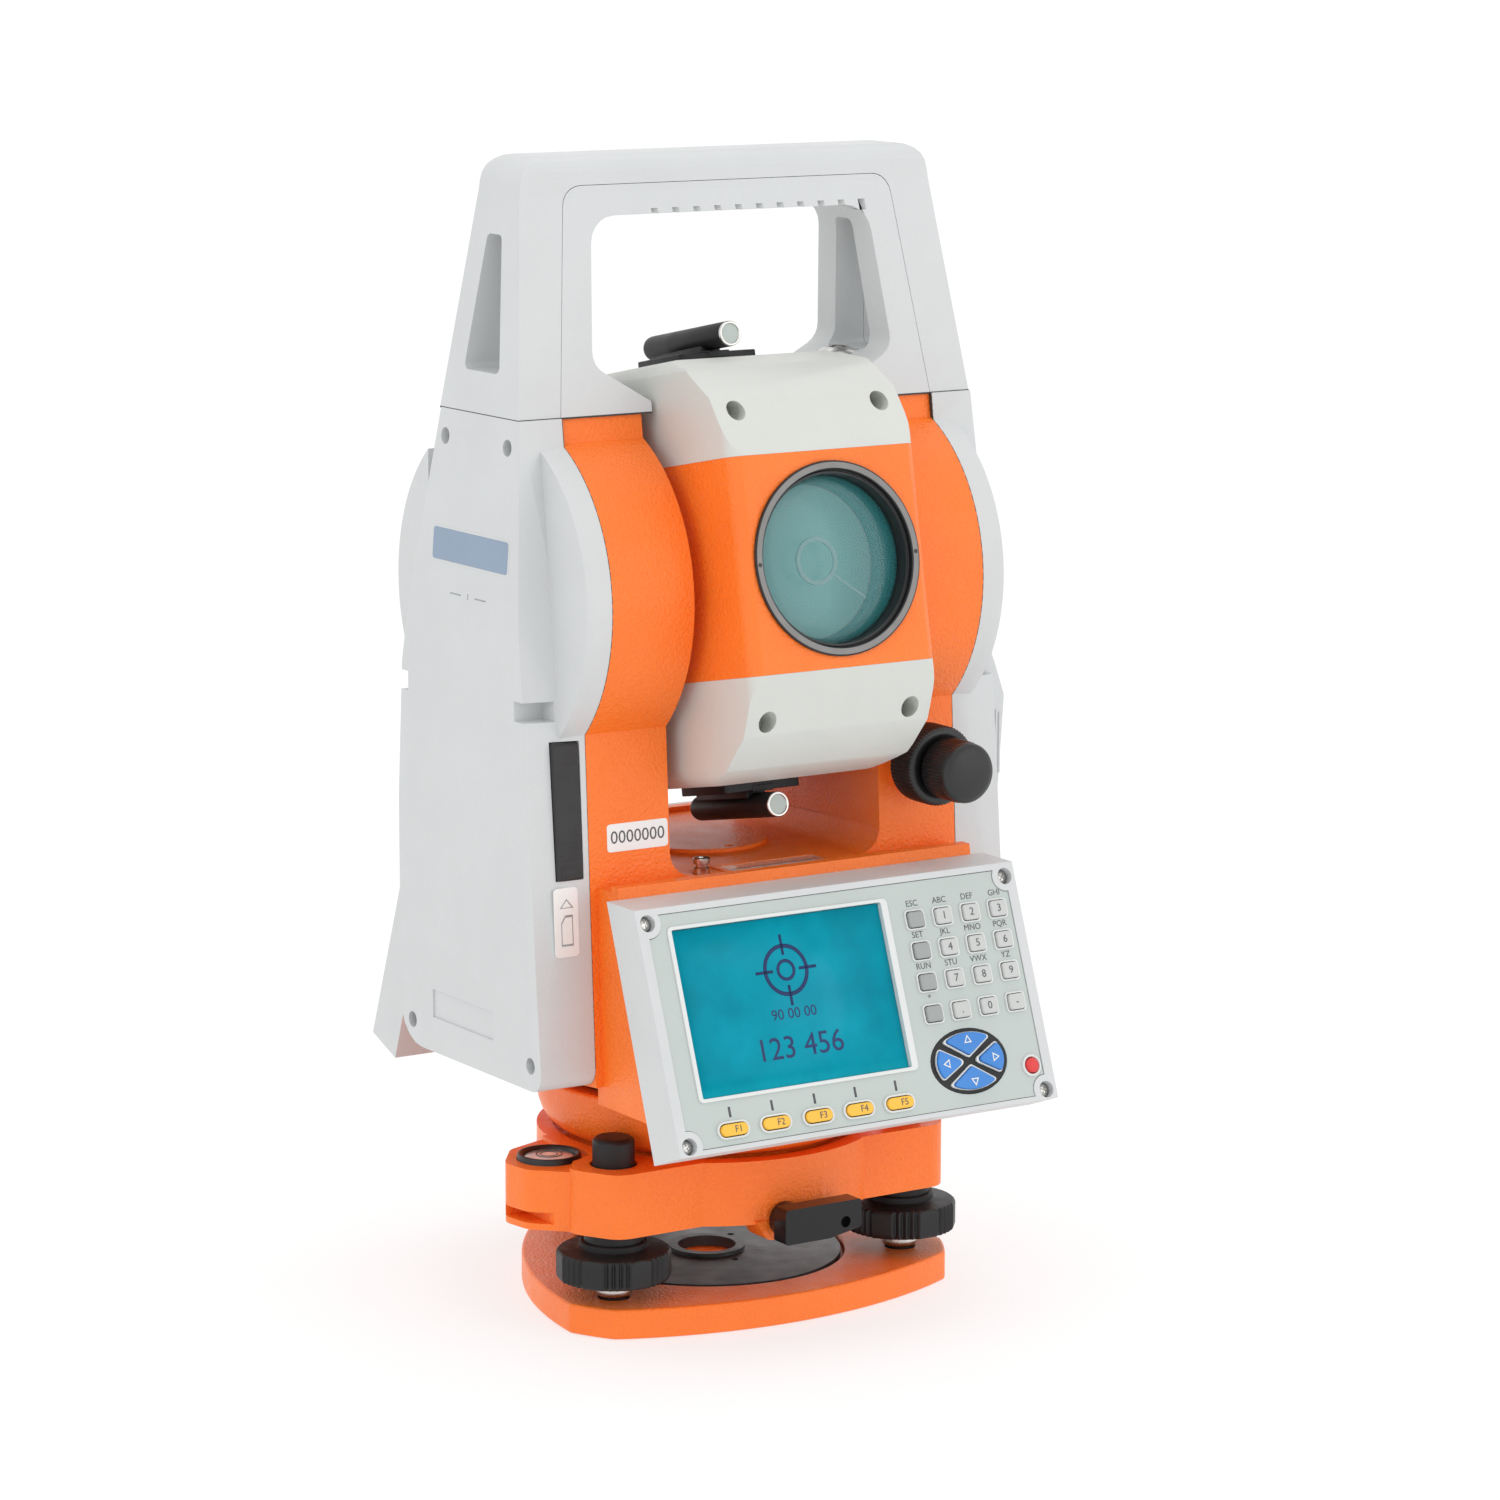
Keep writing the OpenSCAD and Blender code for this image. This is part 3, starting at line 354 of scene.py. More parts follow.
def softened(points, radius, steps=4):
    """Outline with every corner turned into an arc."""
    result = []
    count = len(points)
    for i, point in enumerate(points):
        here = Vector(point)
        before = Vector(points[i - 1]) - here
        after = Vector(points[(i + 1) % count]) - here
        half = before.angle(after) / 2
        if half > STRAIGHT:
            result.append(here)
            continue
        reach = min(radius / tan(half), before.length * 0.49, after.length * 0.49)
        r = reach * tan(half)
        inward = (before.normalized() + after.normalized()).normalized()
        middle = here + inward * (r / sin(half))
        first = here + before.normalized() * reach - middle
        last = here + after.normalized() * reach - middle
        sweep = atan2(first.x * last.y - first.y * last.x, first.dot(last))
        for k in range(steps + 1):
            turn = sweep * k / steps
            c, s = cos(turn), sin(turn)
            result.append(middle + Vector((first.x * c - first.y * s, first.x * s + first.y * c)))
    return result


def band(work, low, high):
    """Quads that join two closed rows of as many vertices each."""
    return [work.faces.new((low[i - 1], low[i], high[i], high[i - 1])) for i in range(len(low))]


def slab(work, low, high):
    """Closed solid between two rows of vertices."""
    faces = [work.faces.new(low[::-1]), work.faces.new(high)] + band(work, low, high)
    bmesh.ops.recalc_face_normals(work, faces=faces)


def lathe(matrix, profile, segments=96, closed=False, shape=None):
    """Mesh turned about a frame's Z: profile holds (radius, height) in millimetres."""
    work = bmesh.new()
    rings = []
    for radius, height in profile:
        ring = []
        for i in range(segments):
            turn = 2 * pi * i / segments
            r = shape(radius, height, turn) if shape else radius
            ring.append(work.verts.new(spot(matrix, r * cos(turn), r * sin(turn), height)))
        rings.append(ring)
    for low, high in zip(rings, rings[1:]):
        band(work, low, high)
    if closed:
        band(work, rings[-1], rings[0])
    else:
        work.faces.new(rings[0][::-1])
        work.faces.new(rings[-1])
    bmesh.ops.recalc_face_normals(work, faces=work.faces)
    return work


def prism(matrix, outline, low, high, work=None):
    """Straight extrusion of an outline in millimetres between two heights."""
    work = work or bmesh.new()
    bottom, top = ([work.verts.new(spot(matrix, p[0], p[1], height)) for p in outline]
                   for height in (low, high))
    slab(work, bottom, top)
    return work


def frame_prism(matrix, outer, inner, low, high, work=None):
    """Straight extrusion of the band between two outlines with as many points each."""
    work = work or bmesh.new()
    rows = [[work.verts.new(spot(matrix, p[0], p[1], height)) for p in outline]
            for outline, height in ((outer, low), (outer, high), (inner, high), (inner, low))]
    faces = [face for a, b in zip(rows, rows[1:] + rows[:1]) for face in band(work, a, b)]
    bmesh.ops.recalc_face_normals(work, faces=faces)
    return work


def box_outline(x0, y0, x1, y1, radius=0.0):
    """Rectangle between two corners, with rounded corners where a radius is given."""
    points = [(x0, y0), (x1, y0), (x1, y1), (x0, y1)]
    return softened(points, radius) if radius else [Vector(p) for p in points]


def stadium(x, y, width, height):
    """Rectangle about a middle whose short sides are half circles."""
    return box_outline(x - width / 2, y - height / 2, x + width / 2, y + height / 2, height / 2 - 0.01)


def piece_from(name, work, material, body, slot, replaces=(), bevel=0.0, segments=2, sharp=35):
    """Finished piece on a body, made from a bmesh, its edges rounded by bevel millimetres."""
    mesh = to_mesh(name, work)
    piece = linked(name, mesh)
    mesh.materials.append(material)
    mesh.polygons.foreach_set("use_smooth", [True] * len(mesh.polygons))
    if sharp:
        mesh.set_sharp_from_angle(angle=radians(sharp))
    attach(piece, body)
    if replaces:
        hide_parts(*replaces)
    if bevel:
        bevelled(piece, bevel * MM, segments)
    return piece


def letters(work, matrix, text, x, y, size, height=0.06):
    """Adds flat raised characters, size millimetres tall, to a mesh."""
    curve = bpy.data.curves.new("letters", "FONT")
    curve.body = text
    curve.size = size * TEXT_SCALE * MM
    curve.align_x = "CENTER"
    curve.align_y = "CENTER"
    curve.extrude = height / 2 * MM
    curve.resolution_u = 3
    holder = linked("letters", curve)
    mesh = evaluated(holder)
    mesh.transform(matrix @ Matrix.Translation((x * MM, y * MM, height / 2 * MM)))
    work.from_mesh(mesh)
    bpy.data.objects.remove(holder)
    bpy.data.curves.remove(curve)
    bpy.data.meshes.remove(mesh)


def line(work, matrix, start, end, width, low, high):
    """A thin straight bar between two points on a face."""
    a, b = Vector(start), Vector(end)
    along = (b - a).normalized() * width / 2
    side = Vector((-along.y, along.x))
    corners = [a - along - side, b + along - side, b + along + side, a - along + side]
    prism(matrix, corners, low, high, work)


# ---- camera, light and stage

CAMERA_PLACE = Vector((-0.7525, -1.1878, 0.4108))
CAMERA_VIEW = Vector((0.53359, 0.82640, -0.17982))
CAMERA_ROLL = radians(0.13)
CAMERA_LENS = 121.44
SENSOR_WIDTH = 36
CAMERA_REACH = 50
LIGHT_TARGET = Vector((0, 0, 0.17))
SOFTBOXES = (  # name, place, size, watts
    ("key_right", (1.05, -1.75, 0.55), (1.3, 1.5), 5.5),
    ("fill_left", (-1.7, -0.5, 0.9), (1.4, 1.4), 2.0),
    ("top", (0.1, 0.1, 1.9), (1.6, 1.6), 4.5),
)
WHITE_LIGHT = (1.0, 1.0, 1.0, 1.0)
FLOOR_GAP = 0.0002
FLOOR_REACH = 30
FLOOR_GLOW = 0.64


def facing(place, direction):
    """Matrix at a place whose -Z looks along a direction."""
    return Matrix.Translation(place) @ direction.to_track_quat("-Z", "Y").to_matrix().to_4x4()


def set_stage():
    """Camera at the photograph's viewing angle, soft studio light and a pale floor."""
    camera_data = bpy.data.cameras.new("camera")
    camera = linked("camera", camera_data)
    camera.matrix_world = facing(CAMERA_PLACE, CAMERA_VIEW) @ Matrix.Rotation(CAMERA_ROLL, 4, "Z")
    camera_data.lens = CAMERA_LENS
    camera_data.sensor_width = SENSOR_WIDTH
    camera_data.clip_end = CAMERA_REACH
    scene.camera = camera

    for name, place, size, watts in SOFTBOXES:
        light = bpy.data.lights.new(name, "AREA")
        light.shape = "RECTANGLE"
        light.size, light.size_y = size
        light.energy = watts
        holder = linked(name, light)
        holder.matrix_world = facing(place, LIGHT_TARGET - Vector(place))

    world = bpy.data.worlds.new("studio")
    world.use_nodes = True
    fill(world.node_tree, world.node_tree.nodes["Background"], {"Color": WHITE_LIGHT, "Strength": 1.0})
    scene.world = world
    scene.view_settings.view_transform = "Standard"

    mesh = bpy.data.meshes.new("floor")
    ground = cad_box[0][2] - FLOOR_GAP
    corners = [(x * FLOOR_REACH, y * FLOOR_REACH, ground) for x, y in ((-1, -1), (1, -1), (1, 1), (-1, 1))]
    mesh.from_pydata(corners, [], [(0, 1, 2, 3)])
    floor = linked("floor", mesh)
    paper = surface("floor_paper", (0.36, 0.36, 0.36), 0.8, 300, 0.00001, 0.005, specular=0.1)
    shader = next(node for node in paper.node_tree.nodes if node.type == "BSDF_PRINCIPLED")
    fill(paper.node_tree, shader, {"Emission Color": WHITE_LIGHT, "Emission Strength": FLOOR_GLOW})
    mesh.materials.append(paper)


set_stage()

# ---- casing

seam_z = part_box("handle_shell")[0].z / MM
seam_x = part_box("alidade_frame")[1].x / MM
inner_x = 34.7
NEAR = 0.3
COVER_SCREWS = ((-16.9, 246), (16.9, 246), (-32.8, 79), (32.8, 79))  # y and z of each
HANDLE_SCREW_X = 43.5
SCOPE_SCREW_X, SCOPE_SCREW_Y = 23.2, 42


def frame_weight(middle):
    """Wide rounding on the standards' inner edges, hardly any along the seams."""
    if abs(abs(middle.x) - seam_x) < NEAR or middle.z > seam_z - NEAR:
        return 0.16
    in_shaft_hole = hypot(middle.y, middle.z - trunnion.z / MM) < 12
    in_clamp_hole = hypot(abs(middle.x) - 45.5, middle.z - 152.5) < 10
    if in_shaft_hole or in_clamp_hole:
        return 0.1
    if abs(abs(middle.x) - inner_x) < NEAR and middle.z > 135:
        return 1.0
    return 0.3


def cover_weight(middle):
    """Full rounding outside, less along the seams, the screw wells and the wings' lower notches."""
    if abs(middle.x) < seam_x + 0.4 or middle.z > seam_z - NEAR:
        return 0.36
    for y, z in COVER_SCREWS:
        if hypot(middle.y - y, middle.z - z) < 3:
            return 0.15
    if 172 < middle.z < 179.5:
        return 0.35
    return 1.0


def seam_half_width(z):
    """Half width of the seam between the handle's shell and its insert."""
    return 60.4 - (z - seam_z) * 7.6 / 61.3


def in_side_window(middle):
    """True for the edges of the openings in the handle's legs."""
    return abs(middle.y) < 10.4 and 264 < middle.z < 303


def handle_weight(middle):
    """Full rounding outside, less along the seams and round the leg openings."""
    if middle.z < seam_z + NEAR or abs(middle.x) < seam_half_width(middle.z) + 0.5:
        return 0.22
    return 0.3 if in_side_window(middle) else 1.0


def insert_weight(middle):
    """Full rounding round the hand opening, less along the seams, slots and screws."""
    on_seam = abs(middle.x) > seam_half_width(middle.z) - 0.5 or middle.z > 314
    if middle.z < seam_z + NEAR or on_seam:
        return 0.22
    if in_side_window(middle):
        return 0.3
    if middle.z > 304.5 and abs(middle.x) < 38:
        return 0.12
    if hypot(abs(middle.x) - HANDLE_SCREW_X, middle.y) < 7:
        return 0.15
    return 1.0


def scope_weight(middle):
    """Almost sharp along the block's seams and round the small holes."""
    local = scope.inverted() @ (middle * MM) / MM
    if abs(abs(local.y) - 29.5) < NEAR or local.xy.length < 28:
        return 0.12
    by_screw_x = abs(abs(local.x) - SCOPE_SCREW_X) < 3
    if by_screw_x and abs(abs(local.y) - SCOPE_SCREW_Y) < 3.2:
        return 0.15
    return 1.0


def seam_shade_strip(name, nodes, normal, level, half):
    """Thin near-black strip in a joint, painted shade where shade falls in the seam: the nodes' faces on one
    plane, thickened both ways.
    """
    work = bmesh.new()
    for node in nodes:
        part = cleaned(node)
        for face in part.faces:
            off_plane = max(abs(v.co.dot(normal) - level * MM) for v in face.verts)
            if abs(face.normal.dot(normal)) < 0.9 or off_plane > 0.05 * MM:
                continue
            low, high = ([work.verts.new(v.co + normal * lift) for v in face.verts]
                         for lift in (-half * MM, half * MM))
            slab(work, low, high)
        part.free()
    piece_from(name, work, SEAM_SHADE, "alidade", "rubber")


# dark strips at the handle and cover seams: painted shade in the joints
seam_shade_strip("handle_seam_shade", ("handle_shell", "handle_insert"), Z, seam_z, 0.24)
seam_shade_strip("left_seam_shade", ("left_cover",), -X, seam_x, 0.12)
seam_shade_strip("right_seam_shade", ("right_cover",), X, seam_x, 0.12)
for node, *rounding in (  # millimetres, then the rule, material and segments where they differ
        ("alidade_frame", 3.6, frame_weight, None, 4), ("left_cover", 1.6, cover_weight),
        ("right_cover", 1.6, cover_weight), ("handle_shell", 2.4, handle_weight, None, 4),
        ("handle_insert", 2.2, insert_weight, None, 4), ("base_plate", 1.1),
        ("spring_plate", 0.35, None, PLATE_BLACK), ("tribrach_body", 1.1),
        ("screw_caps", 0.5, None, KNOB_BLACK), ("lock_lever", 0.5, None, LEVER_BLACK),
        ("lock_ring", 0.5, None, DARK_STEEL), ("base_drum", 1.2), ("deck_cover", 0.3),
        ("port_cover", 0.5), ("battery", 0.9), ("front_housing", 1.3), ("rear_housing", 1.3),
        ("front_keypad_plate", 0.15), ("rear_keypad_plate", 0.15), ("telescope_body", 1.2, scope_weight),
        ("telescope_covers", 2.6, scope_weight, None, 4), ("focus_ring", 0.5), ("eyepiece", 0.6)):
    rounded_node(node, *rounding)
for inner in ("horizontal_circle", "vertical_circle", "axis_spindle", "laser_plummet", "trunnion_shafts",
              "main_board", "focusing_lens"):
    frame["nodes"][inner].data.materials.clear()
    frame["nodes"][inner].data.materials.append(MATERIAL_OF_SLOT[slot_of_node[inner]])

# ---- foot screws and knobs

GRIP_FLATS = 7
GRIP_RIBS = 4
FLAT_SHARE = 0.42
RIB_DEPTH = 0.85
CLAMP_RING = (
    (3.7, -0.8), (6.3, -0.8), (6.3, 3.2), (7.6, 4.2), (8.2, 7.1), (10.6, 7.4), (11.1, 8.0), (11.3, 8.6),
    (11.3, 16.4), (10.8, 17.2), (10.0, 17.7), (8.6, 17.75), (7.4, 16.6), (3.7, 16.4))
FINE_KNOB = (
    (0.02, -3.8), (3.4, -3.8), (3.4, 16.8), (6.6, 16.9), (7.2, 18.4), (8.2, 19.0), (8.7, 19.6), (8.7, 27.6),
    (8.45, 28.2), (8.4, 29.6), (7.9, 30.4), (6.4, 30.95), (4.0, 31.3), (1.5, 31.45), (0.02, 31.48))
KNOB_INSIDE = 4 * MM


def knob_rim(radius, height, turn):
    """Grip of a foot screw: smooth flats between groups of ribs, the same at every height."""
    if radius < 15.5:
        return radius
    period = 2 * pi / GRIP_FLATS
    part = (turn % period) / period
    if part < FLAT_SHARE:
        half = FLAT_SHARE / 2
        return radius * cos(half * period) / cos((part - half) * period)
    along = (part - FLAT_SHARE) / (1 - FLAT_SHARE)
    return radius - RIB_DEPTH * (0.5 - 0.5 * cos(2 * pi * GRIP_RIBS * along))


def foot_screw(node):
    """Ribbed knob with its stepped top, glossy neck and steel ball tip."""
    low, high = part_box(node)
    middle = (low + high) / 2
    matrix = Matrix.Translation((middle.x, middle.y, 0))
    foot, top = low.z / MM, high.z / MM
    profile = [
        (0.02, foot), (3.6, foot), (3.95, foot + 0.4), (3.95, 13.9), (14.2, 13.9), (15.5, 14.2),
        (16.0, 14.9), (16.05, 15.4), (16.05, 21.2), (15.85, 21.9), (15.3, 22.3), (10.9, 22.65),
        (10.3, 22.75), (9.55, 23.1), (9.55, 24.6), (9.3, 24.85), (8.3, 24.88), (8.25, 27.85),
        (3.95, 27.88), (3.95, top - 0.3), (3.6, top), (0.02, top)]
    work = lathe(matrix, profile, 336, shape=knob_rim)
    body = body_of_node[node]
    piece_from(node + "_knob", work, KNOB_BLACK, body, "black_plastic", (node,), sharp=38)
    tip = lathe(matrix, [(4.0, 8.85), (4.6, 9.0), (5.1, 9.8), (5.15, 10.6), (4.9, 11.6), (4.9, 13.9),
                         (4.0, 13.9)], 48, closed=True)
    piece_from(node + "_tip", tip, STEEL, body, "steel", sharp=50)


for screw_node in ("foot_screw_left", "foot_screw_right", "foot_screw_rear"):
    foot_screw(screw_node)


def knurled(teeth, low, high, depth, least):
    """Radius rule that cuts straight knurling between two heights."""
    def rule(radius, height, turn):
        if radius < least or not low <= height <= high:
            return radius
        return radius - depth * (0.5 + 0.5 * cos(teeth * turn))
    return rule


def clamp_knobs(ring_node, knob_node, base, outward):
    """Knurled clamp ring with the domed fine knob that runs through it."""
    matrix = axes_frame(base, Z, outward)
    work = lathe(matrix, CLAMP_RING, 384, closed=True, shape=knurled(64, 8.5, 16.5, 0.45, 11.2))
    piece_from(ring_node + "_knurled", work, ANODISED, body_of_node[ring_node], "black_metal",
               (ring_node,), sharp=50)
    work = lathe(matrix, FINE_KNOB, 320, shape=knurled(54, 19.5, 27.7, 0.4, 8.6))
    piece_from(knob_node + "_domed", work, ANODISED, body_of_node[knob_node], "black_metal",
               (knob_node,), sharp=50)


v_base, h_base = centre("v_tangent_knob"), centre("h_tangent_knob")
v_base.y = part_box("v_tangent_knob")[1].y - KNOB_INSIDE
h_base.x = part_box("h_tangent_knob")[0].x + KNOB_INSIDE
clamp_knobs("v_clamp_ring", "v_tangent_knob", v_base, -Y)
clamp_knobs("h_clamp_ring", "h_tangent_knob", h_base, X)

# ---- screws

SCREW_DOME = (
    (0.02, 0.0), (1.0, 0.0), (1.0, 0.12), (0.94, 0.25), (0.78, 0.40), (0.5, 0.51), (0.25, 0.55),
    (0.02, 0.56))
CONSOLE_SCREWS = ((-58.6, -30.3), (58.6, -30.3), (-58.6, 30.3), (58.6, 30.3))
SCOPE_SCREWS = [(x, y) for x in (-SCOPE_SCREW_X, SCOPE_SCREW_X) for y in (-SCOPE_SCREW_Y, SCOPE_SCREW_Y)]


def screw_mesh():
    """Domed cross-head screw of unit radius, its top near height 0.55."""
    unit = Matrix.Scale(1 / MM, 4)
    head = linked("head", to_mesh("head", lathe(unit, SCREW_DOME, 48)))
    cross = bmesh.new()
    for turn in (0, pi / 2):
        arm = box_outline(-0.52, -0.12, 0.52, 0.12)
        prism(unit @ Matrix.Rotation(turn, 4, "Z"), arm, 0.22, 1.0, cross)
    cutter = linked("cutter", to_mesh("cutter", cross))
    cut = head.modifiers.new("cut", "BOOLEAN")
    cut.object = cutter
    cut.solver = "EXACT"
    cut.use_self = True
    apply_modifiers(head)
    mesh = head.data
    bpy.data.objects.remove(cutter)
    bpy.data.objects.remove(head)
    return mesh


screw = screw_mesh()


def screw_row(name, places, body, material=STEEL, replaces=()):
    """One piece holding a screw head at each (matrix, radius, turn)."""
    work = bmesh.new()
    for matrix, radius, turn in places:
        mesh = screw.copy()
        mesh.transform(matrix @ Matrix.Rotation(turn, 4, "Z") @ Matrix.Scale(radius * MM, 4))
        work.from_mesh(mesh)
    piece_from(name, work, material, body, "steel", replaces, sharp=30)


body_screws = []
for side in (-1, 1):
    for index, (y, z) in enumerate(COVER_SCREWS):
        head_at = Vector((side * 69.6 * MM, y * MM, z * MM))
        side_frame = axes_frame(head_at, Y, Vector((side, 0, 0)))
        body_screws.append((side_frame, 2.15, 0.5 + index))
    head_frame = Matrix.Translation((side * HANDLE_SCREW_X * MM, 0, 262.8 * MM))
    body_screws.append((head_frame, 5.9, 0.35 * side))
for console in (front_console, rear_console):
    for index, (u, v) in enumerate(CONSOLE_SCREWS):
        body_screws.append((at(console, u, v, -2.6), 1.95, 0.4 + index * 0.7))
screw_row("casing_screws", body_screws, "alidade", replaces=("fasteners",))

adjuster = lathe(Matrix.Translation((-24 * MM, -35 * MM, 0)), [
    (0.02, 123.4), (2.2, 123.4), (2.2, 128.6), (1.7, 129.0), (1.7, 129.6), (2.35, 129.9), (2.4, 131.1),
    (2.1, 131.45), (0.9, 131.5), (0.7, 130.9), (0.02, 130.9)], 48)
piece_from("level_adjusting_screw", adjuster, STEEL, "alidade", "steel")

scope_screws = [(at(scope, x, y, 52.4), 2.2, 0.6 + x) for x, y in SCOPE_SCREWS]
screw_row("scope_cover_screws", scope_screws, "telescope", PLATE_EDGE)
cups = bmesh.new()
for x, y in SCOPE_SCREWS:
    cup = lathe(at(scope, x, y, 0), [(2.75, 52.2), (2.75, 58.0), (2.95, 58.0), (2.95, 52.0), (0.02, 52.0),
                                    (0.02, 52.2)], 40, closed=True)
    cups.from_mesh(to_mesh("cup", cup))
piece_from("scope_screw_cups", cups, GREEN_GREY, "telescope", "green_grey_shell")

# ---- telescope optics and sights

OBJECTIVE_BEZEL = (
    (25.5, 53.2), (25.6, 66.4), (26.35, 66.5), (26.5, 66.8), (26.4, 67.3), (26.1, 67.45), (24.3, 67.45),
    (24.1, 67.2), (24.1, 65.6), (23.7, 65.4), (23.6, 65.8), (23.1, 65.8), (22.95, 65.4), (22.9, 60.2),
    (21.5, 60.2), (21.5, 53.2))
LENS_RADIUS, LENS_RIM, LENS_BULGE = 22.85, 61.6, 2.4
# painted light on the rear lens, left to right: darker at both sides, a painted reflection paler right of the
# middle
LENS_LIGHT_STOPS = [
    (0.0, (0.03, 0.15, 0.17)), (0.3, (0.13, 0.42, 0.40)), (0.62, (0.24, 0.58, 0.53)),
    (0.8, (0.16, 0.42, 0.38)), (1.0, (0.10, 0.20, 0.17))]


def scope_turned(name, profile, segments, material, slot, closed=True, **finish):
    """A piece of the telescope, turned about its optical axis."""
    piece_from(name, lathe(scope, profile, segments, closed), material, "telescope", slot, **finish)


def lens_painted_light():
    """Rear glass of the objective: teal, with a painted reflection that makes it paler right of the middle, and a
    faint painted glow.
    """
    material, tree, shader = new_material("lens_painted_light")
    fill(tree, shader, {"Base Color": ramp_along(tree, "X", -0.022, 0.022, LENS_LIGHT_STOPS), "Roughness": 0.3,
                        "Emission Strength": 0.12, "Coat Weight": object_noise(tree, 40, 1)})
    return material


scope_turned("objective_bezel", OBJECTIVE_BEZEL, 128, ANODISED, "black_metal",
             replaces=("objective_ring",), sharp=30)
scope_turned("objective_face_ring", [(24.35, 67.3), (26.05, 67.3), (26.0, 67.5), (24.4, 67.5)], 128,
             RING_METAL, "black_metal")
# near-black discs at the spanner holes: painted shade inside the holes
spanner = bmesh.new()
for turn in (0, pi):
    hole_frame = at(scope, 25.2 * cos(turn), 25.2 * sin(turn), 0)
    hole = lathe(hole_frame, [(0.02, 67.3), (0.6, 67.3), (0.6, 67.53), (0.02, 67.53)], 24, closed=True)
    spanner.from_mesh(to_mesh("hole", hole))
piece_from("spanner_holes", spanner, SEAM_SHADE, "telescope", "black_metal")

lens_dome = [(LENS_RADIUS * cos(a), LENS_RIM + LENS_BULGE * sin(a))
             for a in [i * pi / 20 for i in range(1, 10)]]
lens_profile = [(0.05, 60.3), (LENS_RADIUS, 60.3), (LENS_RADIUS, LENS_RIM)] + lens_dome + [
    (0.05, LENS_RIM + LENS_BULGE)]
scope_turned("front_lens", lens_profile, 96, LENS, "coated_glass", closed=False,
             replaces=("objective_lens",), sharp=60)
scope_turned("rear_lens_glow", [(0.05, 50.2), (21.3, 50.2), (21.3, 50.8), (14, 51.8), (6, 52.3),
                                (0.05, 52.5)], 96, lens_painted_light(), "coated_glass", closed=False, sharp=60)
scope_turned("lens_barrel", [(22.7, 60.0), (22.2, 51.0), (21.4, 50.9), (21.6, 60.0)], 96,
             BARREL_TEAL, "black_metal")
scope_turned("beam_mirror_ring", [(5.4, 56.0), (6.6, 56.0), (6.6, 56.7), (5.4, 56.7)], 64,
             PLATE_EDGE, "coated_glass")
strut = bmesh.new()
line(strut, scope, (5.0, -3.9), (14.5, -11.0), 0.7, 56.1, 56.5)
piece_from("beam_mirror_strut", strut, PLATE_EDGE, "telescope", "coated_glass")


def add_sight(name, turn, replaced):
    """Sighting tube with its foot, saddle and dovetail, above or below the telescope."""
    matrix = scope @ Matrix.Rotation(turn, 4, "Z")
    foot_frame = axes_frame(trunnion, Vector(matrix.col[0][:3]), Vector(matrix.col[1][:3]))
    objective_y = (foot_frame.inverted().to_3x3() @ optical_axis).y
    sign = 1 if objective_y > 0 else -1

    def block(part, outline, radius, low, high, bevel, replaces=()):
        outline = [(x, y * sign) for x, y in outline]
        work = prism(foot_frame, softened(outline, radius) if radius else outline, low, high)
        piece_from(name + part, work, BLACK, "telescope", "black_plastic", replaces, bevel=bevel)

    def turned(part, profile, segments, material, slot, closed, sharp=35):
        work = lathe(at(matrix, 0, 65.4, 0), profile, segments, closed)
        piece_from(name + part, work, material, "telescope", slot, sharp=sharp)

    block("_sight_foot", [(-12.5, -5.9), (12.5, -5.9), (12.5, 17.9), (-12.5, 17.9)], 1.2, 58.2, 61.2,
          0.35, replaced)
    block("_sight_saddle", [(-2.6, -14), (2.6, -14), (3.2, 14), (-3.2, 14)], 0.6, 61.0, 63.2, 0.3)
    turned("_sight_tube", [(0.05, -16.9), (3.0, -16.9), (3.4, -16.2), (3.55, -15.4), (3.55, 24.2),
                           (3.4, 24.5), (0.05, 24.5)], 56, BLACK, "black_plastic", False, 50)
    turned("_sight_rim", [(2.7, 24.3), (3.5, 24.3), (3.5, 24.75), (3.3, 24.95), (2.9, 24.95),
                          (2.7, 24.7)], 56, STEEL, "steel", True)
    turned("_sight_window", [(0.05, 24.4), (2.75, 24.4), (2.75, 24.6), (0.05, 24.65)], 40, PLATE,
           "circle_glass", False)
    block("_sight_dovetail", [(-4.4, 13.5), (4.4, 13.5), (3.4, 18.1), (-3.4, 18.1)], 0, 59.6, 61.5, 0.2)


add_sight("upper", 0, ("sights",))
add_sight("lower", pi, ())

# ---- levels

cup_middle = centre("circular_level")
cup_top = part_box("circular_level")[1].z / MM
cup_frame = Matrix.Translation((cup_middle.x, cup_middle.y, 0))


def cup_turned(name, profile, segments, material, closed, **finish):
    """A piece of the circular level; the profile's heights count from its top."""
    profile = [(radius, cup_top + height) for radius, height in profile]
    piece_from(name, lathe(cup_frame, profile, segments, closed), material, "base", "black_metal", **finish)


cup_turned("level_cup", [(9.0, -9.8), (9.0, -0.7), (8.7, -0.1), (8.2, 0), (7.4, -0.5), (7.1, -1.4),
                         (7.1, -9.8)], 80, ANODISED, True, replaces=("circular_level",), sharp=40)
cup_turned("level_vial", [(0.05, -8), (7.05, -8), (7.05, -1.3), (6.4, -0.9), (3, -0.55), (0.05, -0.5)],
           64, VIAL, False, sharp=50)
for radius in (2.3, 3.5):
    mark = [(radius, -0.6), (radius + 0.22, -0.6), (radius + 0.22, -0.42), (radius, -0.42)]
    cup_turned("level_ring_%d" % round(radius * 10), mark, 56, INK, True)

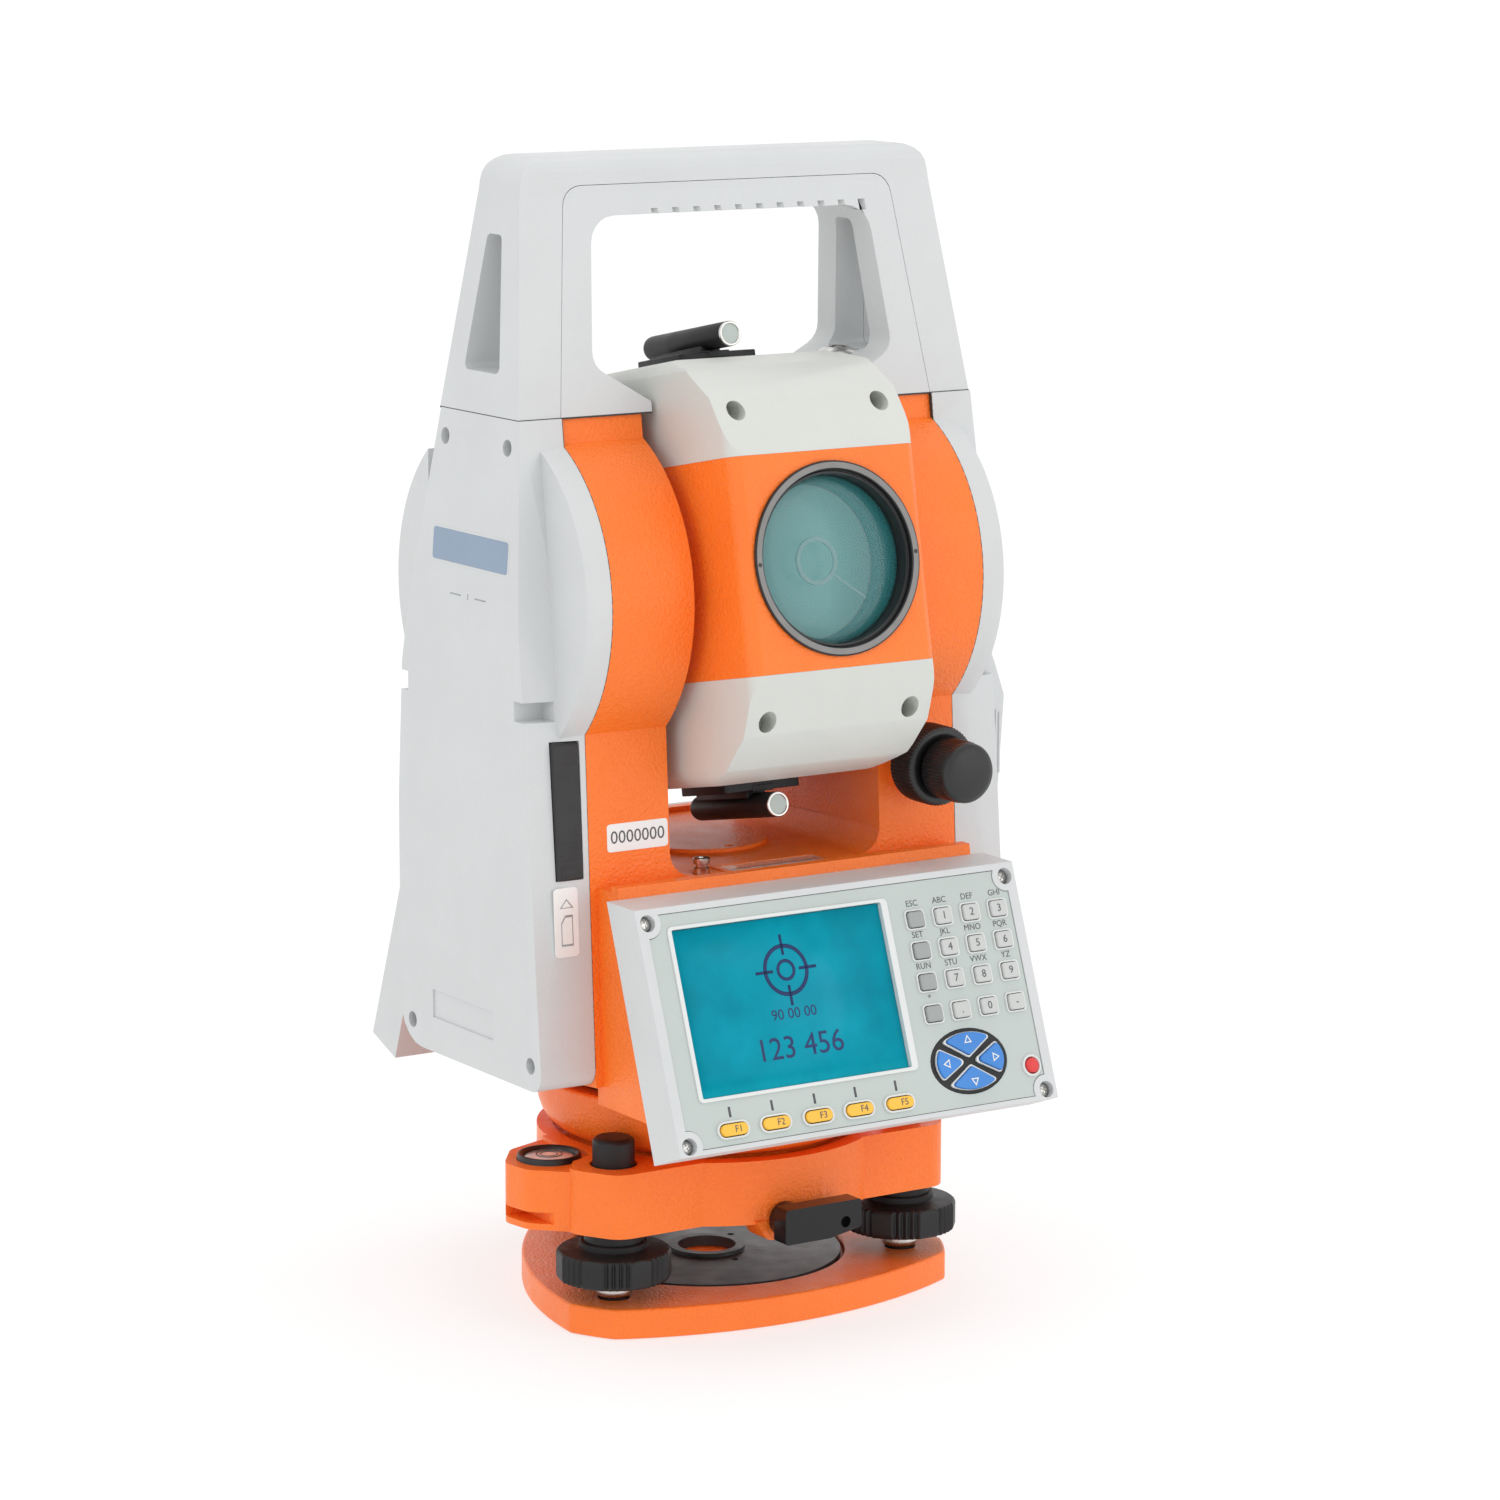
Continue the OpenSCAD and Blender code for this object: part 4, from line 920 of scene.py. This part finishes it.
window_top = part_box("plate_level")[1].z
window_frame = Matrix.Translation((0, centre("plate_level").y, window_top))
window = box_outline(-15.6, -5.2, 15.6, 5.2, 1.2)
rim = frame_prism(window_frame, box_outline(-17.8, -7.3, 17.8, 7.3, 1.2), window, -1.5, -0.05)
piece_from("plate_level_rim", rim, ORANGE, "alidade", "orange_paint", ("plate_level",), bevel=0.3)
tube_frame = axes_frame(Vector((0, window_frame.translation.y, window_top - 3.0 * MM)), Y, X)
tube = lathe(tube_frame, [(0.05, -14), (2.4, -14), (2.5, -13), (2.5, 13), (2.4, 14), (0.05, 14)], 40)
piece_from("plate_level_vial", tube, VIAL_TUBE, "alidade", "level_glass")
# near-black floor under the vial: painted shade in the window's recess
piece_from("plate_level_floor", prism(window_frame, window, -3.8, -3.5), SEAM_SHADE, "alidade", "level_glass")
pane = prism(window_frame, box_outline(-15.5, -5.1, 15.5, 5.1, 1.2), -0.45, -0.2)
piece_from("plate_level_pane", pane, CLEAR, "alidade", "level_glass")

# ---- consoles

F_KEY_U = (-44.2, -30.7, -17.0, -3.7, 9.6)
F_KEY_V = -27.6
PAD_U = (26.2, 35.4, 44.7, 54.0)
PAD_V = (21.6, 12.8, 4.0, -4.9)
PAD_DIGITS = ("123", "456", "789", ".0-")
PAD_PRINT = (("ESC", "SET", "RUN", "*"), ("ABC", "JKL", "STU"), ("DEF", "MNO", "VWX"),
             ("GHI", "PQR", "YZ"))
NAV_U, NAV_V, NAV_A, NAV_B = 35.0, -19.2, 12.8, 9.2
ARROWS = ((90, "key_up"), (270, "key_down"), (180, "key_left"), (0, "key_right"))
POWER_U, POWER_V = 55.2, -23.1
SCREEN_BOX = (-51.6, -18.2, 15.7, 27.5)
SCREEN_LOW, SCREEN_HIGH = -1.9, -1.4
SIGHT_U, SIGHT_V = -17.5, 13.0
FACE = -0.3
KEY_FOOT, KEY_TOP = -4, 1.0
PRINT = 0.05
OVAL_ROUNDING = {"bevel": 0.5, "segments": 3}
KEY_ROUNDING = {"bevel": 0.45, "segments": 3}


def ring_points(u, v, width, height, count):
    """Points of an ellipse about (u, v)."""
    turns = [2 * pi * i / count for i in range(count)]
    return [Vector((u + width * cos(t), v + height * sin(t))) for t in turns]


def nav_outline(degrees, grow=0.0):
    """Rounded quarter of the ellipse that one arrow key fills."""
    half = 40 if abs(sin(radians(degrees))) > 0.5 else 30
    points = []
    for k in range(9):
        a = radians(degrees - half + half * k / 4)
        points.append(Vector((NAV_A * cos(a), NAV_B * sin(a))) * 0.86)
    middle_turn = radians(degrees)
    points.append(Vector((NAV_A * cos(middle_turn), NAV_B * sin(middle_turn))) * 0.17)
    middle = sum(points, Vector((0, 0))) / len(points)
    grown = [middle + (p - middle) * (1 + grow) + Vector((NAV_U, NAV_V)) for p in points]
    return softened(grown, 0.9, 3)


def ring_band(work, matrix, radius, width):
    """Printed ring of the display's sighting mark."""
    outer = ring_points(SIGHT_U, SIGHT_V, radius, radius, 48)
    inner = ring_points(SIGHT_U, SIGHT_V, radius - width, radius - width, 48)
    frame_prism(matrix, outer, inner, 0, PRINT, work)


def screen_content(work, matrix):
    """Generic sighting mark and an angle reading."""
    ring_band(work, matrix, 7.2, 1.1)
    ring_band(work, matrix, 3.0, 0.9)
    for du, dv in ((1, 0), (-1, 0), (0, 1), (0, -1)):
        start, end = ((SIGHT_U + reach * du, SIGHT_V + reach * dv) for reach in (4.6, 9.4))
        line(work, matrix, start, end, 0.8, 0, PRINT)
    letters(work, matrix, "90 00 00", SIGHT_U, 1.0, 3.0, PRINT)
    letters(work, matrix, "123 456", SIGHT_U, -8.2, 6.3, PRINT)


def console_face(side, console):
    """Bezels, screen, printed marks and key frames of one console."""
    bezels = bmesh.new()
    x0, y0, x1, y1 = SCREEN_BOX
    frame_prism(console, box_outline(x0 - 1.5, y0 - 1.2, x1 + 2.3, y1 + 1.1, 1.4),
                box_outline(x0 - 0.2, y0 - 0.2, x1 + 0.2, y1 + 0.2, 0.5), -1.6, 0.15, bezels)
    for u in F_KEY_U:
        outer, inner = stadium(u, F_KEY_V, 10.2, 4.8), stadium(u, F_KEY_V, 9.1, 3.75)
        frame_prism(console, outer, inner, -0.9, 0.35, bezels)
    for u in PAD_U:
        for v in PAD_V:
            frame_prism(console, box_outline(u - 3.3, v - 2.85, u + 3.3, v + 2.85, 1.2),
                        box_outline(u - 2.85, v - 2.4, u + 2.85, v + 2.4, 0.9), -0.9, 0.2, bezels)
    for degrees in (0, 90, 180, 270):
        frame_prism(console, nav_outline(degrees, 0.14), nav_outline(degrees, 0.03), -1.2, 0.25, bezels)
    power_rim = lathe(at(console, POWER_U, POWER_V, 0), [
        (2.35, -0.9), (3.1, -0.9), (3.1, 0.1), (2.9, 0.35), (2.5, 0.35), (2.35, 0.1)], 48, closed=True)
    bezels.from_mesh(to_mesh("power_rim", power_rim))
    piece_from(side + "_bezels", bezels, PLATE_EDGE, "alidade", "grey_plate", bevel=0.12)

    field = prism(console, ring_points(NAV_U, NAV_V, NAV_A * 0.985, NAV_B * 0.985, 72), -3.2, FACE - 0.1)
    piece_from(side + "_nav_field", field, BLACK, "alidade", "black_plastic", bevel=0.1)

    marks = bmesh.new()
    print_frame = at(console, 0, 0, FACE)
    for u in F_KEY_U:
        line(marks, print_frame, (u, -23.8), (u, -21.7), 0.7, 0, PRINT)
    for u, column in zip(PAD_U, PAD_PRINT):
        for v, text in zip(PAD_V, column):
            letters(marks, print_frame, text, u, v + 4.55, 1.75, PRINT)
    piece_from(side + "_plate_print", marks, INK, "alidade", "grey_plate", sharp=0)

    screen = prism(console, box_outline(*SCREEN_BOX), SCREEN_LOW, SCREEN_HIGH)
    piece_from(side + "_screen", screen, SCREEN, "alidade", "display", (side + "_display",), sharp=0)
    shown = bmesh.new()
    screen_content(shown, at(console, 0, 0, SCREEN_HIGH))
    piece_from(side + "_screen_content", shown, LCD_INK, "alidade", "display", sharp=0)


def oval_cap(console, u, work=None):
    """Cap of a function key."""
    return prism(console, stadium(u, F_KEY_V, 8.5, 3.2), KEY_FOOT, KEY_TOP, work)


def square_cap(console, u, v, work=None):
    """Cap of a number key or side key."""
    return prism(console, box_outline(u - 2.6, v - 2.2, u + 2.6, v + 2.2, 0.8), KEY_FOOT, KEY_TOP, work)


def arrow_cap(console, degrees, work=None):
    """Cap of an arrow key."""
    return prism(console, nav_outline(degrees), KEY_FOOT, KEY_TOP, work)


def power_cap(console):
    """Domed cap of the power key."""
    return lathe(at(console, POWER_U, POWER_V, 0), [
        (0.05, KEY_FOOT), (2.05, KEY_FOOT), (2.05, 0.5), (1.75, 0.9), (0.05, KEY_TOP)], 48)


def oval_legend(work, console, i):
    """F and a digit, right of the middle of a function key."""
    letters(work, at(console, 0, 0, KEY_TOP), "F%d" % (i + 1), F_KEY_U[i] + 1.2, F_KEY_V, 1.9)


def number_legend(work, console, row, size):
    """Digits and marks on one row of number keys."""
    for u, text in zip(PAD_U[1:], PAD_DIGITS[row]):
        letters(work, at(console, 0, 0, KEY_TOP), text, u, PAD_V[row], size)


def arrow_legend(work, console, degrees):
    """Outlined triangle that points the way of its key."""
    turn = radians(degrees)
    reach = Vector((NAV_U + 8.0 * cos(turn), NAV_V + 5.7 * sin(turn)))
    ways = [turn + 2 * pi * k / 3 for k in range(3)]
    outer, inner = ([reach + Vector((cos(a), sin(a))) * radius for a in ways]
                    for radius in (1.5, 0.9))
    frame_prism(at(console, 0, 0, KEY_TOP), outer, inner, 0, 0.06, work)


def key_piece(node, part, work, material, slot, **finish):
    """A piece of one key, on that key's own body."""
    piece_from(node + part, work, material, body_of_node[node], slot, **finish)


def front_keys(console):
    """Key caps with their legends, each key or row on its own body."""
    for i, u in enumerate(F_KEY_U):
        node = "key_f%d" % (i + 1)
        key_piece(node, "_cap", oval_cap(console, u), YELLOW, "key_yellow", replaces=(node,),
                  **OVAL_ROUNDING)
        legend = bmesh.new()
        oval_legend(legend, console, i)
        key_piece(node, "_legend", legend, INK, "key_yellow", sharp=0)
    for degrees, node in ARROWS:
        key_piece(node, "_cap", arrow_cap(console, degrees), BLUE, "key_blue", replaces=(node,),
                  **KEY_ROUNDING)
        legend = bmesh.new()
        arrow_legend(legend, console, degrees)
        key_piece(node, "_legend", legend, WHITE, "key_blue", sharp=0)
    for row, v in enumerate(PAD_V):
        node = "keypad_row_%d" % (row + 1)
        caps = bmesh.new()
        for u in PAD_U[1:]:
            square_cap(console, u, v, caps)
        key_piece(node, "_caps", caps, KEY_GREY, "key_grey", replaces=(node,), **KEY_ROUNDING)
        key_piece(node, "_first_cap", square_cap(console, PAD_U[0], v), KEY_DARK, "key_grey",
                  **KEY_ROUNDING)
        legend = bmesh.new()
        number_legend(legend, console, row, 2.2)
        key_piece(node, "_legend", legend, INK, "key_grey", sharp=0)
    key_piece("key_power", "_cap", power_cap(console), RED, "key_red", replaces=("key_power",), sharp=60)


def rear_keys(console):
    """Key caps with their legends, all on one body."""
    body = body_of_node["rear_keys"]
    number, side, yellow, blue, arrows, legend = (bmesh.new() for _ in range(6))
    for u in PAD_U[1:]:
        for v in PAD_V:
            square_cap(console, u, v, number)
    for v in PAD_V:
        square_cap(console, PAD_U[0], v, side)
    for u in F_KEY_U:
        oval_cap(console, u, yellow)
    for degrees in (0, 90, 180, 270):
        arrow_cap(console, degrees, blue)
        arrow_legend(arrows, console, degrees)
    for row in range(len(PAD_V)):
        number_legend(legend, console, row, 2.3)
    for i in range(len(F_KEY_U)):
        oval_legend(legend, console, i)
    piece_from("rear_number_keys", number, KEY_GREY, body, "key_grey", ("rear_keys",), **KEY_ROUNDING)
    piece_from("rear_side_keys", side, KEY_DARK, body, "key_grey", **KEY_ROUNDING)
    piece_from("rear_function_keys", yellow, YELLOW, body, "key_yellow", **OVAL_ROUNDING)
    piece_from("rear_arrow_keys", blue, BLUE, body, "key_blue", **KEY_ROUNDING)
    piece_from("rear_arrow_legend", arrows, WHITE, body, "key_blue", sharp=0)
    piece_from("rear_power_key", power_cap(console), RED, body, "key_red", sharp=60)
    piece_from("rear_key_legends", legend, INK, body, "key_grey", sharp=0)


console_face("front", front_console)
front_keys(front_console)
console_face("rear", rear_console)
rear_keys(rear_console)

# ---- labels, grips and small parts

left_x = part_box("left_cover")[0].x


def side_label():
    """Blank name plate on the left cover, following the cover's lean, and the height mark."""
    lean = atan2(3.7, 53.6)
    base = Vector((left_x, 0, 200 * MM))
    matrix = axes_frame(base, -Y, Vector((-cos(lean), 0, sin(lean))))
    film = box_outline(-20.4, 12.1, 20.4, 20.9, 1.0)
    plate = prism(matrix, film, -0.15, 0.12)
    piece_from("name_plate_film", plate, LABEL_BLUE, "alidade", "grey_plate", bevel=0.08)
    edge = frame_prism(matrix, box_outline(-21.2, 11.4, 21.2, 21.6, 1.4), film, -0.3, 0.08)
    piece_from("name_plate_rim", edge, GREY, "alidade", "grey_shell", bevel=0.06)
    height_mark = bmesh.new()
    for start, end in (((-9.5, 3.6), (-4, 3.6)), ((4, 3.6), (9.5, 3.6)), ((0, 3.0), (0, 4.2))):
        line(height_mark, matrix, start, end, 0.35, -0.1, 0.04)
    piece_from("height_mark", height_mark, KEY_DARK, "alidade", "grey_plate", sharp=0)


side_label()

front_lean = axes_frame(Vector((0, -33.8 * MM, 170 * MM)), X, Vector((0, -1, 5.4 / 98)))
film = prism(front_lean, box_outline(-54.6, -33.9, -35.2, -26.2, 1.0), -0.2, 0.1)
piece_from("standard_label", film, WHITE, "alidade", "grey_plate", bevel=0.06)
film_print = bmesh.new()
letters(film_print, at(front_lean, 0, 0, 0.1), "0000000", -44.9, -30.1, 3.6, PRINT)
piece_from("standard_label_print", film_print, INK, "alidade", "grey_plate", sharp=0)


def outlined(work, corners, middle, share):
    """Closed printed line round the corners, its inner edge drawn in to a share of its size."""
    corners, middle = [Vector(p) for p in corners], Vector(middle)
    inner = [middle + (p - middle) * share for p in corners]
    frame_prism(front_lean, corners, inner, 0, 0.09, work)


def port_details():
    """Raised frame and grip ribs on the port flap, and the pictogram below it."""
    low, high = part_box("port_cover")
    fold_v = (joints["port_cover_turn"]["pos_m"][2] - low.z) / MM - 4
    lean = (36.4 - 33.9) / 37.4
    corner = Vector(((low.x + high.x) / 2, low.y + 0.25 * MM, low.z))
    matrix = axes_frame(corner, X, Vector((0, -1, lean)))
    ribs = bmesh.new()
    for k in range(4):
        prism(matrix, box_outline(-2.6, 5.2 + 1.5 * k, 2.6, 5.9 + 1.5 * k, 0.2), -0.2, 0.3, ribs)
    frame_prism(matrix, box_outline(-2.9, 0.6, 3.2, 3.8, 0.7), box_outline(-2.3, 1.2, 2.6, 3.2, 0.4),
                -0.2, 0.35, ribs)
    line(ribs, matrix, (-3.0, fold_v), (3.0, fold_v), 0.5, -0.2, 0.2)
    piece_from("port_flap_ribs", ribs, RUBBER, "port_flap", "rubber", bevel=0.1)
    label = prism(front_lean, box_outline(-72, -61, -64.4, -42, 1.2), -0.2, 0.06)
    piece_from("port_label", label, WHITE, "alidade", "grey_plate", bevel=0.04)
    mark = bmesh.new()
    outlined(mark, [(-69.9, -58), (-66.2, -58), (-66.2, -49.5), (-68.6, -49.5), (-69.9, -51.5)],
             (-68.1, -54), 0.86)
    outlined(mark, [(-70.2, -47.6), (-65.9, -47.6), (-68.05, -45)], (-68.05, -46.8), 0.72)
    piece_from("port_pictogram", mark, KEY_DARK, "alidade", "grey_plate", sharp=0)


port_details()


def battery_ribs():
    """Upright grip ribs on the battery's front edge."""
    low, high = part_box("battery")
    ribs = bmesh.new()
    face = Matrix.Translation((high.x - 5.4 * MM, low.y, 0))
    for k in range(4):
        outline = box_outline(1.15 * k, -0.4, 1.15 * k + 0.6, 0.6, 0.15)
        prism(face, outline, 148 - 1.5 * k, 164 - k, ribs)
    piece_from("battery_ribs", ribs, GREY, body_of_node["battery"], "grey_shell", bevel=0.08)


battery_ribs()
